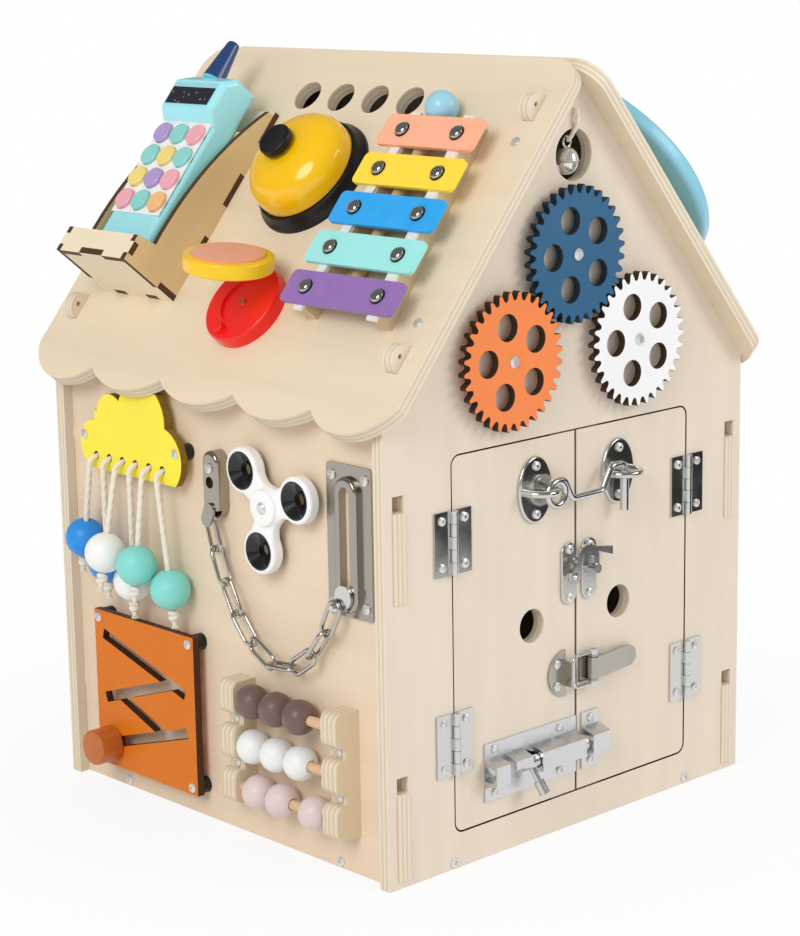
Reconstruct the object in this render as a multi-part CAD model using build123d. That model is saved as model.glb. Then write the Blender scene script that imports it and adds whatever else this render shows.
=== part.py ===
from build123d import *
import os
from math import asin, asinh, atan2, cos, cosh, degrees, hypot, pi, radians, sin, sinh, sqrt, tan

# Wooden activity house, millimetres. The origin is the middle of the floor panel's underside.
# The front gable faces -Y, the busy side wall faces -X and +Z is up.
# "back" is a distance behind the front gable's face, "down" a distance down a roof from the
# line where the two outer roof faces would meet, and "out" a height off the carrying face.

# Plywood shell
PLY = 8.0
WIDTH = 300.0
DEPTH = 296.0
ROOF_PITCH = 50.25
APEX_HEIGHT = 444.0
WALL_INSET = 6.7
WALL_TOP = 271.0
ROOF_OVERHANG = 13.25
EAVE_TIP = 257.0
EAVE_CUSP = 246.0
EAVE_END = 236.0
SCALLOP_PITCH = 66.2
ROOF_CORNER = 18.0
PANEL_FIT = 0.2
TAB_RADIUS = 8.6
TAB_ROOT = 9.0
TAB_HOLE = 1.5
TAB_HOLE_OUT = 3.6
TAB_DOWN = (43.1, 207.8)
ROOF_SCREW_DOWN = (66.2, 185.0)
TENON_HEIGHT = 50.6
TENON_FOOT = (4.5, 163.4)
TENON_PROUD = 1.2
MORTISE_SLACK = 9.5
BASE_SCREW_X = 100.0
BASE_SCREW_BACK = (47.5, 245.0)
ROOF_HOLE_RADIUS = 10.0
ROOF_HOLE_DOWN = 43.2
ROOF_HOLE_BACK = 103.33
ROOF_HOLE_PITCH = 29.93
ROOF_HOLE_COUNT = 4
SCALLOPS = 5

# Fasteners
SCREW_RADIUS = 2.9
SCREW_HEAD = 1.5
SMALL_SCREW = (2.4, 1.2)
SCREW_TAPER = 0.62
LAP = 1.0

# Doors
OPENING_WIDTH = 198.8
OPENING_FOOT = 20.6
OPENING_HEIGHT = 219.0
OPENING_CORNER = 6.5
DOOR_GAP = 0.7
SEAM_X = 1.2
SEAM_GAP = 1.0
FINGER_RADIUS = 10.0
FINGER_OFFSET = 37.0
FINGER_Z = 129.7
DOOR_ROUND = 0.8

# Butt hinges
HINGE_Z = (74.6, 190.8)
LEAF_WIDTH = 14.2
LEAF_HEIGHT = 36.5
LEAF_THICK = 1.2
KNUCKLE_RADIUS = 2.2
KNUCKLE_COUNT = 5
KNUCKLE_GAP = 0.3
PIN_RADIUS = 1.0
PIN_CLEAR = 0.15
LEAF_SCREW_X = 8.6
LEAF_SCREW_Z = 13.2

# Cabin hook
HOOK_Z = 209.5
HOOK_PLATE_OFFSET = 35.0
HOOK_PLATE = (13.5, 19.5, 2.2)
HOOK_PLATE_ROUND = 1.3
HOOK_SCREW = 14.0
STAPLE_RADIUS = 10.4
STAPLE_WIRE = 2.0
STAPLE_LEG = 2.8
HOOK_WIRE = 2.0
HOOK_EYE = 7.0
HOOK_EYE_DROP = 2.6
HOOK_EYE_SLIP = 0.4
HOOK_OUT = 8.5
HOOK_FINGER = 2.7
HOOK_FINGER_X = 33.9
HOOK_FINGER_FOOT = 187.6
HOOK_LOW = 201.9
HOOK_HIGH = 215.5
HOOK_SHANK = (6.0, 12.6, 38.1, 46.1)
HOOK_BEND = 4.0

# Swing clasp
CLASP_Z = 155.2
CLASP_BASE = (36.8, 12.6, 1.6)
CLASP_BASE_X = (-5.7, 11.5)
CLASP_ROUND = 0.6
CLASP_SCREW = 14.4
CLASP_PIVOT_RISE = -1.3
CLASP_HUB = (4.2, 4.3)
CLASP_PIN = 1.8
CLASP_RIVET = (2.6, 1.6)
CLASP_PLATE_OUT = 4.6
CLASP_PLATE = 2.2
CLASP_THROAT_AT = (10.5, 8.0)
CLASP_THROAT = 5.2
CLASP_BAND = 4.2
CLASP_LEG = 5.4
CLASP_TAIL = (31.6, 10.5, 5.0)
CLASP_TAIL_ROOT = (7.0, 4.7)
CLASP_POST_X = 8.3
CLASP_POST_RISE = 2.0
CLASP_POST = (1.4, 9.4)
CLASP_POST_HEAD = (2.9, 2.0)

# Draw latch
DRAW_Z = 96.0
STRIKE_RADIUS = 14.0
STRIKE_X = -9.0
STRIKE_THICK = 1.4
STRIKE_WALL = (15.0, 7.5)
STRIKE_SCREW = (7.5, 6.7)
DRAW_BASE = 16.0
LEVER_AXIS_X = 11.0
LEVER_AXIS_OUT = 5.0
LEVER_HALF = 6.5
LEVER_CURL = 3.4
LEVER_THICK = 2.0
LEVER_LENGTH = 37.5
LEVER_DROP = 4.2
LEVER_LIP = (6.0, 1.0)
LEVER_TIP = 6.0
LEVER_AXLE = 1.3
EAR_GAP = 0.4
EAR_THICK = 1.4
EAR_RADIUS = 2.9
BAIL_WIRE = 1.1
BAIL_HALF = 9.7
BAIL_REACH = 17.2
BAIL_EYE = (1.3, 2.8)
BAIL_CORNER = 4.0

# Barrel bolt
BOLT_Z = 50.8
BOLT_PLATE = (76.0, 34.5, 1.2)
BOLT_AXIS_OUT = 5.4
BOLT_RADIUS = 4.0
BOLT_CLEAR = 0.5
BARREL_FOOT = 9.0
BARREL_TOP = 5.6
BARREL_HEIGHT = 10.8
BARREL_RUNS = ((0.0, 11.0), (38.0, 37.0))
BARREL_HALF_RUN = (16.0, 14.0, 0.5)
BOLT_ROD = (24.0, 80.2)
BOLT_NOSE = 1.2
BOLT_KNOB_X = 32.0
BOLT_STEM = (1.8, 13.0)
BOLT_KNOB = (3.2, 8.0)
BOLT_KNOB_TURN = (65.0, 12.0, 0.0)
BOLT_SCREW = (8.0, 62.0, 13.0)
KEEPER_X = 5.0
KEEPER_LENGTH = 15.0

# Gears
GEAR_TEETH = 32
GEAR_SPACING = 75.3
GEAR_ADDENDUM = 1.75
GEAR_DEDENDUM = 3.05
GEAR_THICK = 7.7
GEAR_OUT = 0.6
GEAR_HOLES = 5
GEAR_HOLE_RADIUS = 7.5
GEAR_HOLE_RING = 20.3
GEAR_AXLE = 2.0
AXLE_CLEAR = 0.15
AXLE_FLOAT = 0.3
AXLE_HEAD = 3.5
GEAR_WASHER = (5.0, 0.5)
GEAR_MIDDLE = (-5.2, 341.1)
GEAR_SPREAD = 43.7
GEAR_HOLE_TURN = (36.0, -7.0, 2.0)
TOOTH_ROOT_SHARE = 0.30
TOOTH_TIP_SHARE = 0.12

# Jingle bell
BELL_HOLE = (0.0, 396.0, 14.8)
BELL_CORD_HOLE = (420.4, 1.6)
JINGLE_RADIUS = 8.0
JINGLE_BACK = 5.5
JINGLE_Z = 392.3
JINGLE_SEAM = (0.6, 1.2)
JINGLE_SLOT = 1.6
JINGLE_RING = (3.0, 0.8)
BELL_CORD_RADIUS = 1.1
BELL_CORD_OUT = (3.3, 2.2)
BELL_CORD_FALL = 10.4
BELL_CORD_BENDS = (2.2, 6.6)

# Wall plates on spacers
SPACER_RADIUS = 5.0
SPACER_LENGTH = 5.5
PLATE_THICK = 5.0
CLOUD_FOOT = 204.0
CLOUD_TOP = 257.0
CLOUD_LOBES = (
    (188.2, 218.4, 19.7),
    (251.9, 219.1, 14.9),
    (206.0, 239.9, 22.7),
    (235.7, 237.9, 13.7),
)
CLOUD_SCREWS = ((173.8, 224.0), (262.4, 224.0))
STRAND_BACK = 186.6
STRAND_PITCH = 12.9
STRAND_Z = 212.2
STRAND_HOLE = 2.6
STRAND_RADIUS = 1.9
STRAND_DROP_OUT = 15.5
STRAND_TAIL = 10.0
STRAND_BEND = 3.8
STRAND_SAG = 0.4
STRAND_START = 1.0
BEAD_RADIUS = 12.2
BEAD_BORE = 2.3
KNOT_RADIUS = 3.4
STRAND_BEADS = (
    (12.4, 180.6, 141.4),
    (23.2, 198.3, 155.0),
    (12.4, 216.6, 140.0),
    (27.0, 224.2, 159.0),
    (12.4, 242.2, 147.9),
    (12.4, 263.9, 159.1),
)
MAZE_MIDDLE = (212.1, 65.0)
MAZE_SIZE = (97.0, 98.5)
MAZE_SCREW_INSET = 4.6
MAZE_SLOT = 6.6
MAZE_LEGS = (
    ((249.0, 99.0), (176.0, 78.0)),
    ((248.5, 60.0), (186.0, 80.5)),
    ((236.0, 63.0), (195.0, 47.5)),
    ((246.5, 30.6), (175.0, 52.5)),
)
KNOB_RADIUS = 11.0
KNOB_LENGTH = 16.0
KNOB_ROUND = 1.5
KNOB_STEM = 2.7
KNOB_FLANGE = (5.5, 2.0)
KNOB_CLEAR = 0.3

# Spinner
SPINNER = (92.6, 205.1)
SPINNER_TURN = 43.0
SPINNER_REACH = 27.0
SPINNER_LOBE = 13.0
SPINNER_WAIST = 11.5
SPINNER_BLEND = 3.0
SPINNER_THICK = 8.0
SPINNER_OUT = 4.3
SPINNER_CAP = (10.5, 1.8)
SPINNER_AXLE = 2.6
SPINNER_HUB = 7.0
RING_RADIUS = 11.0
RING_BORE = 4.0
RING_LIP = 0.8
RING_FIT = 0.05

# Door chain
ANCHOR = (144.7, 209.6)
ANCHOR_SIZE = (40.0, 14.0, 9.0)
ANCHOR_HOLE = 3.4
ANCHOR_HOLE_RISE = 1.5
ANCHOR_ROUND = 2.5
ANCHOR_POCKET = 5.4
ANCHOR_EAR = (4.4, 1.6)
ANCHOR_EAR_ROOT = 15.0
CHAIN_PIN = 1.4
CHAIN_ENDS = ((147.5, 190.5), (37.2, 158.2))
CHAIN_OUT = (7.4, 9.2)
CHAIN_DIP = 112.0
CHAIN_LINKS = 9
CHAIN_WIRE = 1.3
CHAIN_HALF_WIDTH = 4.4
CHAIN_SLACK = 0.35
SLOT_PLATE = (33.3, 193.8)
SLOT_PLATE_SIZE = (36.0, 86.0, 1.6)
SLOT_CORNER = 2.5
SLOT_RIM = (77.0, 18.0, 5.2)
SLOT_RIM_ROUND = 2.0
SLOT_WAY = (66.0, 8.0)
SLOT_DROP = -2.0
SLOT_SCREW = (13.3, 36.0)
SLIDER_STEM = 3.3
SLIDER_DISC = (6.6, 2.0)
SLIDER_EAR = 3.0
SLIDER_GAP = 0.3

# Abacus
ROD_Z = (33.8, 60.6, 87.7)
ROD_OUT = 11.6
ROD_RADIUS = 3.0
ABACUS_FRONT = 30.0
ABACUS_INNER = 76.0
BRACKET_THICK = 13.0
BRACKET_LOBE = (20.0, 17.4, 5.0)
BRACKET_SPINE = 10.0
BRACKET_END = 9.0
ABACUS_BEAD = 10.2
ABACUS_BORE = 3.3
UPPER_BACK = (67.6, 88.1, 108.6)
LOWER_BACK = (55.6, 84.4, 104.9)

# Phone and cradle
CRADLE_MIDDLE = 241.8
CRADLE_WIDTH = 67.4
CRADLE_FOOT = 194.5
CRADLE_PLY = 4.0
LIP_OUT = 45.5
LIP_HEIGHT = 17.0
LIP_FINGER = 4.5
LIP_TONGUE = 22.0
CHEEK_FINGER_OUT = 15.0
BOARD_FINGER = 22.6
BOARD_FINGERS = (59.1, 104.4, 149.6)
BOARD_TONGUE = (11.0, 15.5)
CRADLE_REST_OUT = 10.0
CRADLE_SHOULDER = (174.7, 31.0)
CRADLE_TIP = (62.0, 8.0)
CRADLE_SWEEP = (104.0, 23.0)
PHONE_WIDTH = 48.5
PHONE_BACK_OUT = 14.0
PHONE_FACE_OUT = 32.0
PHONE_HEAD_OUT = 40.5
PHONE_FOOT = 190.0
PHONE_TOP = 56.0
PHONE_NECK = (92.0, 84.0)
PHONE_BROW = 64.0
PHONE_ROUND = 4.0
ANTENNA_BACK = 245.5
ANTENNA_OUT = 29.5
ANTENNA_BASE = 7.2
ANTENNA_TIP = 3.8
ANTENNA_LENGTH = 28.0
ANTENNA_ROUND = 2.3
SCREEN_SIZE = (40.0, 15.0, 0.5)
SCREEN_DOWN = 74.0
KEY_PLATE = (46.0, 66.0, 0.8)
KEY_DOWN = 123.2
KEY_PITCH = (15.6, 16.2)
KEY_RADIUS = 6.9
KEY_HEIGHT = 3.4
KEY_PROUD = 2.6
KEY_TRAVEL = 1.5
KEY_CLEAR = 0.25
KEY_ROUND = 1.0
KEY_ROWS = 4
KEY_COLUMNS = 3

# Call bell
CALL_BELL = (146.7, 101.0)
CALL_BASE = (35.5, 9.0)
CALL_FLARE = 3.5
CALL_ROUND = 1.5
CALL_DOME = (33.6, 24.0)
CALL_SKIRT = 5.0
CALL_BUTTON = (10.5, 5.5, 1.2)
CALL_STEM = 4.0
CALL_STEM_DEPTH = 12.0
CALL_TRAVEL = 1.8
CALL_CLEAR = 0.2

# Xylophone
BARS_MIDDLE = 54.2
BAR_DOWN = 73.7
BAR_PITCH = 26.8
BAR_COUNT = 5
BAR_FIRST = 77.0
BAR_STEP = 3.5
BAR_WIDTH = 21.0
BAR_CORNER = 3.5
BAR_THICK = 2.4
RAIL_TOP = 60.0
RAIL_FOOT = 192.0
RAIL_SPREAD = (20.9, 30.2)
RAIL_WIDTH = 8.4
RAIL_HEIGHT = 12.0
FELT_WIDTH = 7.2
FELT_THICK = 2.0
FELT_PROUD = 2.0
NAIL_RADIUS = 4.6
NAIL_HEIGHT = 2.6

# Castanet
CASTANET = (139.0, 191.9)
CASTANET_LEAN = 11.0
CASTANET_RADIUS = 26.3
CASTANET_THICK = 9.0
CASTANET_DISH = (14.5, 1.6)
CASTANET_ROUND = 2.0
CASTANET_GAP = 0.3
CASTANET_OPEN = 48.3
CASTANET_PEG = (3.3, 3.2, 19.6)
CASTANET_RIVET = (2.4, 1.0)
CASTANET_KNUCKLE = (2.0, 4.0)
CASTANET_PIN = 0.8
LID_ROUND = 1.4
LID_PAD = (21.0, 1.2)

# Mallet
MALLET_AT = (62.3, 53.2)
MALLET_HEAD = 9.9
MALLET_STICK = (3.6, 128.0)
MALLET_SEAT = 0.3

# Steering wheel
WHEEL = (76.0, 121.8)
WHEEL_RADIUS = 84.0
WHEEL_RIM = 17.0
WHEEL_THICK = 10.0
WHEEL_OUT = 15.4
WHEEL_ROUND = 3.0
WHEEL_HUB = 25.0
WHEEL_SPOKES = 3
WHEEL_SPOKE = 20.0
WHEEL_POST = (14.0, 15.0)
WHEEL_AXLE = 4.0
WHEEL_SCREW = (7.0, 2.0)

# Derived places
SLOPE = radians(ROOF_PITCH)
OUTER_APEX = APEX_HEIGHT + PLY / cos(SLOPE)
WALL_FACE = WIDTH / 2 - WALL_INSET
EAVE_HEIGHT = APEX_HEIGHT - WIDTH / 2 * tan(SLOPE)
HINGE_X = OPENING_WIDTH / 2 - DOOR_GAP / 2
PLATE_FACE = SPACER_LENGTH + PLATE_THICK
GEAR_PITCH_RADIUS = GEAR_SPACING / 2
BASE = (Align.CENTER, Align.CENTER, Align.MIN)
LEFT_LOW = (Align.MIN, Align.CENTER, Align.MIN)
CORNER = (Align.MIN, Align.MIN, Align.MIN)


def on_front(x, z, out=0.0):
    """Place on the front gable: local x to the right, y up, z out of the face."""
    return Plane((x, -DEPTH / 2 - out, z), x_dir=(1, 0, 0), z_dir=(0, -1, 0)).location


def on_left(back, up, out=0.0):
    """Place on the left wall: local x towards the front, y up, z out of the face."""
    return Plane((-WALL_FACE - out, back - DEPTH / 2, up), x_dir=(0, -1, 0), z_dir=(-1, 0, 0)).location


def on_roof(side, back, down, out=0.0):
    """Place on a roof, side -1 left or 1 right: local y up the slope, z out of the roof."""
    x = side * (down * cos(SLOPE) + out * sin(SLOPE))
    z = OUTER_APEX - down * sin(SLOPE) + out * cos(SLOPE)
    facing = (side * sin(SLOPE), 0, cos(SLOPE))
    return Plane((x, back - DEPTH / 2, z), x_dir=(0, side, 0), z_dir=facing).location


def on_left_roof(back, down, out=0.0):
    return on_roof(-1, back, down, out)


def drum(radius, height):
    return Cylinder(radius, height, align=BASE)


def slab(length, width, height):
    return Box(length, width, height, align=BASE)


def screw_head(radius=SCREW_RADIUS, height=SCREW_HEAD):
    return Cone(radius, radius * SCREW_TAPER, height, align=BASE)


def top_edges(solid):
    return solid.faces().sort_by(Axis.Z)[-1].outer_wire().edges()


def wire_along(path, radius):
    section = Plane(path @ 0, z_dir=path % 0) * Circle(radius)
    return sweep(section, path=path)


def cord_along(name, points, bends, radius):
    """Cord of straight runs and tangent arcs, with its bend radii and volume against the formula."""
    path = FilletPolyline(*points, radius=list(bends))
    cord = wire_along(path, radius)
    share = cord.volume / (pi * radius**2 * path.length)
    print(name, "length", round(path.length, 1), "bends", bends, "volume share", round(share, 4))
    return cord


def as_list(shape):
    return list(shape.solids())


# Shell panels

def gable_tab(side, down):
    """Half disc that rises through the roof, drawn in the gable's own plane."""
    root = Pos(0, -TAB_ROOT / 2) * Rectangle(2 * TAB_RADIUS, TAB_ROOT)
    tab = root + Circle(TAB_RADIUS) - Pos(0, TAB_HOLE_OUT) * Circle(TAB_HOLE)
    turn = Rot(0, 0, -side * ROOF_PITCH)
    return Pos(side * down * cos(SLOPE), OUTER_APEX - down * sin(SLOPE)) * turn * tab


def gable_face():
    half = WIDTH / 2
    corners = ((-half, 0), (half, 0), (half, EAVE_HEIGHT), (0, APEX_HEIGHT), (-half, EAVE_HEIGHT))
    face = make_face(Polyline(*corners, close=True))
    for side in (-1, 1):
        for down in TAB_DOWN:
            face += gable_tab(side, down)
        for foot in TENON_FOOT:
            tall = TENON_HEIGHT + MORTISE_SLACK
            mortise = Rectangle(PLY + 2 * PANEL_FIT, tall)
            face -= Pos(side * (WALL_FACE - PLY / 2), foot + tall / 2) * mortise
    return face


def opening_face(inset=0.0):
    wide = OPENING_WIDTH - 2 * inset
    tall = OPENING_HEIGHT - 2 * inset
    middle = OPENING_FOOT + OPENING_HEIGHT / 2
    return Pos(0, middle) * RectangleRounded(wide, tall, OPENING_CORNER - inset)


def front_gable():
    hole_x, hole_z, hole_radius = BELL_HOLE
    cord_z, cord_radius = BELL_CORD_HOLE
    face = gable_face() - opening_face()
    face -= Pos(hole_x, hole_z) * Circle(hole_radius)
    face -= Pos(hole_x, cord_z) * Circle(cord_radius)
    return on_front(0, 0, -PLY) * extrude(face, PLY)


def back_gable():
    return on_front(0, 0, -DEPTH) * extrude(gable_face(), PLY)


def side_wall(side):
    inner = DEPTH - 2 * PLY
    wall = Box(PLY, inner, WALL_TOP, align=BASE)
    for foot in TENON_FOOT:
        tenon = Box(PLY, DEPTH + 2 * TENON_PROUD, TENON_HEIGHT, align=BASE)
        wall += Pos(0, 0, foot) * tenon
    return Pos(side * (WALL_FACE - PLY / 2), 0, 0) * wall


def floor_panel():
    return Box(2 * (WALL_FACE - PLY), DEPTH - 2 * PLY, PLY, align=BASE)


def roof_face():
    """Roof outline: straight ridge with round corners and a scalloped eave."""
    half = DEPTH / 2 + ROOF_OVERHANG
    ridge = PLY * tan(SLOPE)
    cusps = [SCALLOP_PITCH * (step + 1 - SCALLOPS / 2) for step in range(SCALLOPS - 1)]
    ends = [(-half, -EAVE_END)] + [(x, -EAVE_CUSP) for x in cusps] + [(half, -EAVE_END)]
    lines = Polyline((half, -EAVE_END), (half, -ridge), (-half, -ridge), (-half, -EAVE_END))
    for step in range(SCALLOPS):
        tip = (SCALLOP_PITCH * (step - (SCALLOPS - 1) / 2), -EAVE_TIP)
        lines += ThreePointArc(ends[step], tip, ends[step + 1])
    face = make_face(lines)
    face = fillet(face.vertices().group_by(Axis.Y)[-1], ROOF_CORNER)
    for end in (-1, 1):
        for down in TAB_DOWN:
            slot = Rectangle(PLY + 2 * PANEL_FIT, 2 * (TAB_RADIUS + PANEL_FIT))
            face -= Pos(end * (DEPTH - PLY) / 2, -down) * slot
    return face


def roof_panel(side, holes=0):
    face = roof_face()
    for step in range(holes):
        back = ROOF_HOLE_BACK + step * ROOF_HOLE_PITCH
        face -= Pos(DEPTH / 2 - back, -ROOF_HOLE_DOWN) * Circle(ROOF_HOLE_RADIUS)
    return on_roof(side, DEPTH / 2, 0, -PLY) * extrude(face, PLY)


def house_screws():
    heads = []
    for side in (-1, 1):
        for back in (PLY / 2, DEPTH - PLY / 2):
            for down in ROOF_SCREW_DOWN:
                heads.append(on_roof(side, back, down) * screw_head())
        heads.append(on_front(side * BASE_SCREW_X, PLY / 2) * screw_head())
        back_plane = Plane((side * BASE_SCREW_X, DEPTH / 2, PLY / 2), z_dir=(0, 1, 0))
        heads.append(back_plane.location * screw_head())
        for back in BASE_SCREW_BACK:
            wall = Plane((side * WALL_FACE, back - DEPTH / 2, PLY / 2), z_dir=(side, 0, 0))
            heads.append(wall.location * screw_head())
        for z in HINGE_Z:
            for rise in (-LEAF_SCREW_Z, LEAF_SCREW_Z):
                x = side * (HINGE_X + LEAF_SCREW_X)
                heads.append(on_front(x, z + rise, LEAF_THICK) * screw_head(*SMALL_SCREW))
    for back, up in CLOUD_SCREWS:
        heads.append(on_left(back, up, PLATE_FACE) * screw_head())
    for back, up in maze_corners():
        heads.append(on_left(back, up, PLATE_FACE) * screw_head())
    for back in bracket_middles():
        for low, high in zip(ROD_Z, ROD_Z[1:]):
            heads.append(on_left(back, (low + high) / 2, BRACKET_SPINE) * screw_head())
    anchor_back, anchor_up = ANCHOR
    heads.append(on_left(anchor_back, anchor_up + ANCHOR_SIZE[0] / 4, ANCHOR_SIZE[2]) * screw_head())
    for across in (-1, 1):
        for rise in (-1, 1):
            back = SLOT_PLATE[0] + across * SLOT_SCREW[0]
            up = SLOT_PLATE[1] + rise * SLOT_SCREW[1]
            heads.append(on_left(back, up, SLOT_PLATE_SIZE[2]) * screw_head())
    return heads


# Doors and hinges

def door(side):
    half = extrude(opening_face(DOOR_GAP), PLY)
    keep = Box(WIDTH, 2 * APEX_HEIGHT, PLY, align=LEFT_LOW)
    edge = SEAM_X + side * SEAM_GAP / 2
    if side < 0:
        keep = Rot(0, 180, 0) * Pos(0, 0, -PLY) * keep
    panel = half & (Pos(edge, 0, 0) * keep)
    panel -= Pos(SEAM_X + side * FINGER_OFFSET, FINGER_Z, 0) * drum(FINGER_RADIUS, PLY)
    panel = fillet(top_edges(panel), DOOR_ROUND)
    return on_front(0, 0, -PLY) * panel


def knuckle_steps(first):
    run = LEAF_HEIGHT / KNUCKLE_COUNT
    return [(-LEAF_HEIGHT / 2 + run * step, run) for step in range(first, KNUCKLE_COUNT, 2)]


def knuckle(radius, foot, run):
    """Barrel of a hinge, standing along local y around the hinge line."""
    barrel = Rot(-90, 0, 0) * Cylinder(radius, run, align=BASE)
    return Pos(0, foot, KNUCKLE_RADIUS) * barrel


def hinge_leaf(first):
    """Flat leaf to local +x of the hinge line with every other knuckle."""
    start = KNUCKLE_RADIUS + KNUCKLE_GAP
    plate = Box(LEAF_WIDTH - start, LEAF_HEIGHT, LEAF_THICK, align=LEFT_LOW)
    leaf = Pos(start, 0, 0) * plate
    for foot, run in knuckle_steps(first):
        strap = Box(start + LAP, run - KNUCKLE_GAP, LEAF_THICK, align=LEFT_LOW)
        leaf += Pos(0, foot + run / 2, 0) * strap
        leaf += knuckle(KNUCKLE_RADIUS, foot + KNUCKLE_GAP / 2, run - KNUCKLE_GAP)
    return leaf


def frame_leaf():
    return hinge_leaf(0) + knuckle(PIN_RADIUS, -LEAF_HEIGHT / 2, LEAF_HEIGHT)


def door_leaf():
    return hinge_leaf(1) - knuckle(PIN_RADIUS + PIN_CLEAR, -LEAF_HEIGHT, 2 * LEAF_HEIGHT)


def turned_leaf(leaf, side):
    """Seat a leaf on the front with its free edge towards side."""
    if side < 0:
        leaf = mirror(leaf, about=Plane.YZ)
    return leaf


def frame_hinge_leaves():
    leaves = []
    for side in (-1, 1):
        for z in HINGE_Z:
            leaf = turned_leaf(frame_leaf(), side)
            leaves.append(on_front(side * HINGE_X, z) * leaf)
    return leaves


def door_leaves(side, screw_places):
    """Hinge leaves of one door and the screws that hold its fittings."""
    pieces = []
    for z in HINGE_Z:
        leaf = turned_leaf(door_leaf(), -side)
        pieces.append(on_front(side * HINGE_X, z) * leaf)
        for rise in (-LEAF_SCREW_Z, LEAF_SCREW_Z):
            x = side * (HINGE_X - LEAF_SCREW_X)
            pieces.append(on_front(x, z + rise, LEAF_THICK) * screw_head(*SMALL_SCREW))
    for x, z, out in screw_places:
        pieces.append(on_front(x, z, out) * screw_head(*SMALL_SCREW))
    return pieces


def plate_screws(side):
    """Screws of the cabin hook's plate and the clasp's base on one door."""
    places = []
    for step in (-1, 1):
        places.append((SEAM_X + side * HOOK_PLATE_OFFSET, HOOK_Z + step * HOOK_SCREW, HOOK_PLATE[2]))
        places.append((clasp_base_x(side), CLASP_Z + step * CLASP_SCREW, CLASP_BASE[2]))
    return places


def left_door_screws():
    places = plate_screws(-1)
    across, rise = STRIKE_SCREW
    places += [(STRIKE_X - across, DRAW_Z + step * rise, STRIKE_THICK) for step in (-1, 1)]
    first, second, rise = BOLT_SCREW
    for x in (first, second):
        places += [(x - BOLT_PLATE[0], BOLT_Z + step * rise, BOLT_PLATE[2]) for step in (-1, 1)]
    return places


def right_door_screws():
    places = plate_screws(1)
    middle = KEEPER_X + KEEPER_LENGTH / 2
    places += [(middle, BOLT_Z + step * BOLT_SCREW[2], BOLT_PLATE[2]) for step in (-1, 1)]
    return places


# Cabin hook

def hook_plate():
    """Domed oval plate with a wire staple that stands out of it."""
    half_wide, half_tall, thick = HOOK_PLATE
    plate = extrude(Ellipse(half_wide, half_tall), thick)
    plate = fillet(top_edges(plate), HOOK_PLATE_ROUND)
    bend = thick + STAPLE_LEG
    left_leg = Line((-STAPLE_RADIUS, 0, thick / 2), (-STAPLE_RADIUS, 0, bend))
    crown = (0, 0, bend + STAPLE_RADIUS)
    bow = ThreePointArc((-STAPLE_RADIUS, 0, bend), crown, (STAPLE_RADIUS, 0, bend))
    right_leg = Line((STAPLE_RADIUS, 0, bend), (STAPLE_RADIUS, 0, thick / 2))
    return plate + wire_along(left_leg + bow + right_leg, STAPLE_WIRE)


def hook_plate_at(side):
    return on_front(SEAM_X + side * HOOK_PLATE_OFFSET, HOOK_Z) * hook_plate()


def hook_eye_x():
    """Middle of the eye, hung on the inner leg of the left staple."""
    rise = HOOK_OUT - HOOK_PLATE[2] - STAPLE_LEG
    return SEAM_X - HOOK_PLATE_OFFSET + sqrt(STAPLE_RADIUS**2 - rise**2) + HOOK_EYE_SLIP


def cabin_hook():
    """Round bar bent to an eye, a cranked shank and a finger that drops through a staple."""
    eye_x = hook_eye_x()
    eye_z = HOOK_Z - HOOK_EYE_DROP
    crown = eye_z + HOOK_EYE
    neck, low_start, low_end, rise_end = HOOK_SHANK
    bends = (
        (eye_x + HOOK_WIRE, crown),
        (eye_x + neck, crown),
        (eye_x + low_start, HOOK_LOW),
        (eye_x + low_end, HOOK_LOW),
        (eye_x + rise_end, HOOK_HIGH),
        (HOOK_FINGER_X, HOOK_HIGH),
        (HOOK_FINGER_X, HOOK_Z - HOOK_BEND),
    )
    hook = wire_along(FilletPolyline(*bends, radius=HOOK_BEND), HOOK_WIRE)
    finger_top = HOOK_Z - HOOK_BEND + LAP
    finger = Rot(90, 0, 0) * Cylinder(HOOK_FINGER, finger_top - HOOK_FINGER_FOOT, align=BASE)
    hook += Pos(HOOK_FINGER_X, finger_top, 0) * finger
    hook += Pos(eye_x, eye_z, 0) * Torus(HOOK_EYE, HOOK_WIRE)
    return on_front(0, 0, HOOK_OUT) * hook


# Swing clasp

def clasp_base_x(side):
    return CLASP_BASE_X[0] if side < 0 else CLASP_BASE_X[1]


def clasp_base():
    tall, wide, thick = CLASP_BASE
    plate = extrude(Rot(0, 0, 90) * SlotOverall(tall, wide), thick)
    return fillet(top_edges(plate), CLASP_ROUND)


def clasp_hook_base():
    """Base plate with a hub, and the rivet that the hook turns on."""
    pin_top = CLASP_PLATE_OUT + CLASP_PLATE + AXLE_CLEAR
    base = clasp_base() + Pos(0, CLASP_PIVOT_RISE, 0) * drum(*CLASP_HUB)
    base += Pos(0, CLASP_PIVOT_RISE, 0) * drum(CLASP_PIN, pin_top)
    base += Pos(0, CLASP_PIVOT_RISE, pin_top) * screw_head(*CLASP_RIVET)
    return on_front(clasp_base_x(-1), CLASP_Z) * base


def clasp_post_base():
    """Base plate with the headed post that the hook catches."""
    shift = CLASP_POST_X - clasp_base_x(1)
    base = clasp_base() + Pos(shift, CLASP_POST_RISE, 0) * drum(*CLASP_POST)
    base += Pos(shift, CLASP_POST_RISE, CLASP_POST[1]) * drum(*CLASP_POST_HEAD)
    return on_front(clasp_base_x(1), CLASP_Z) * base


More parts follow.
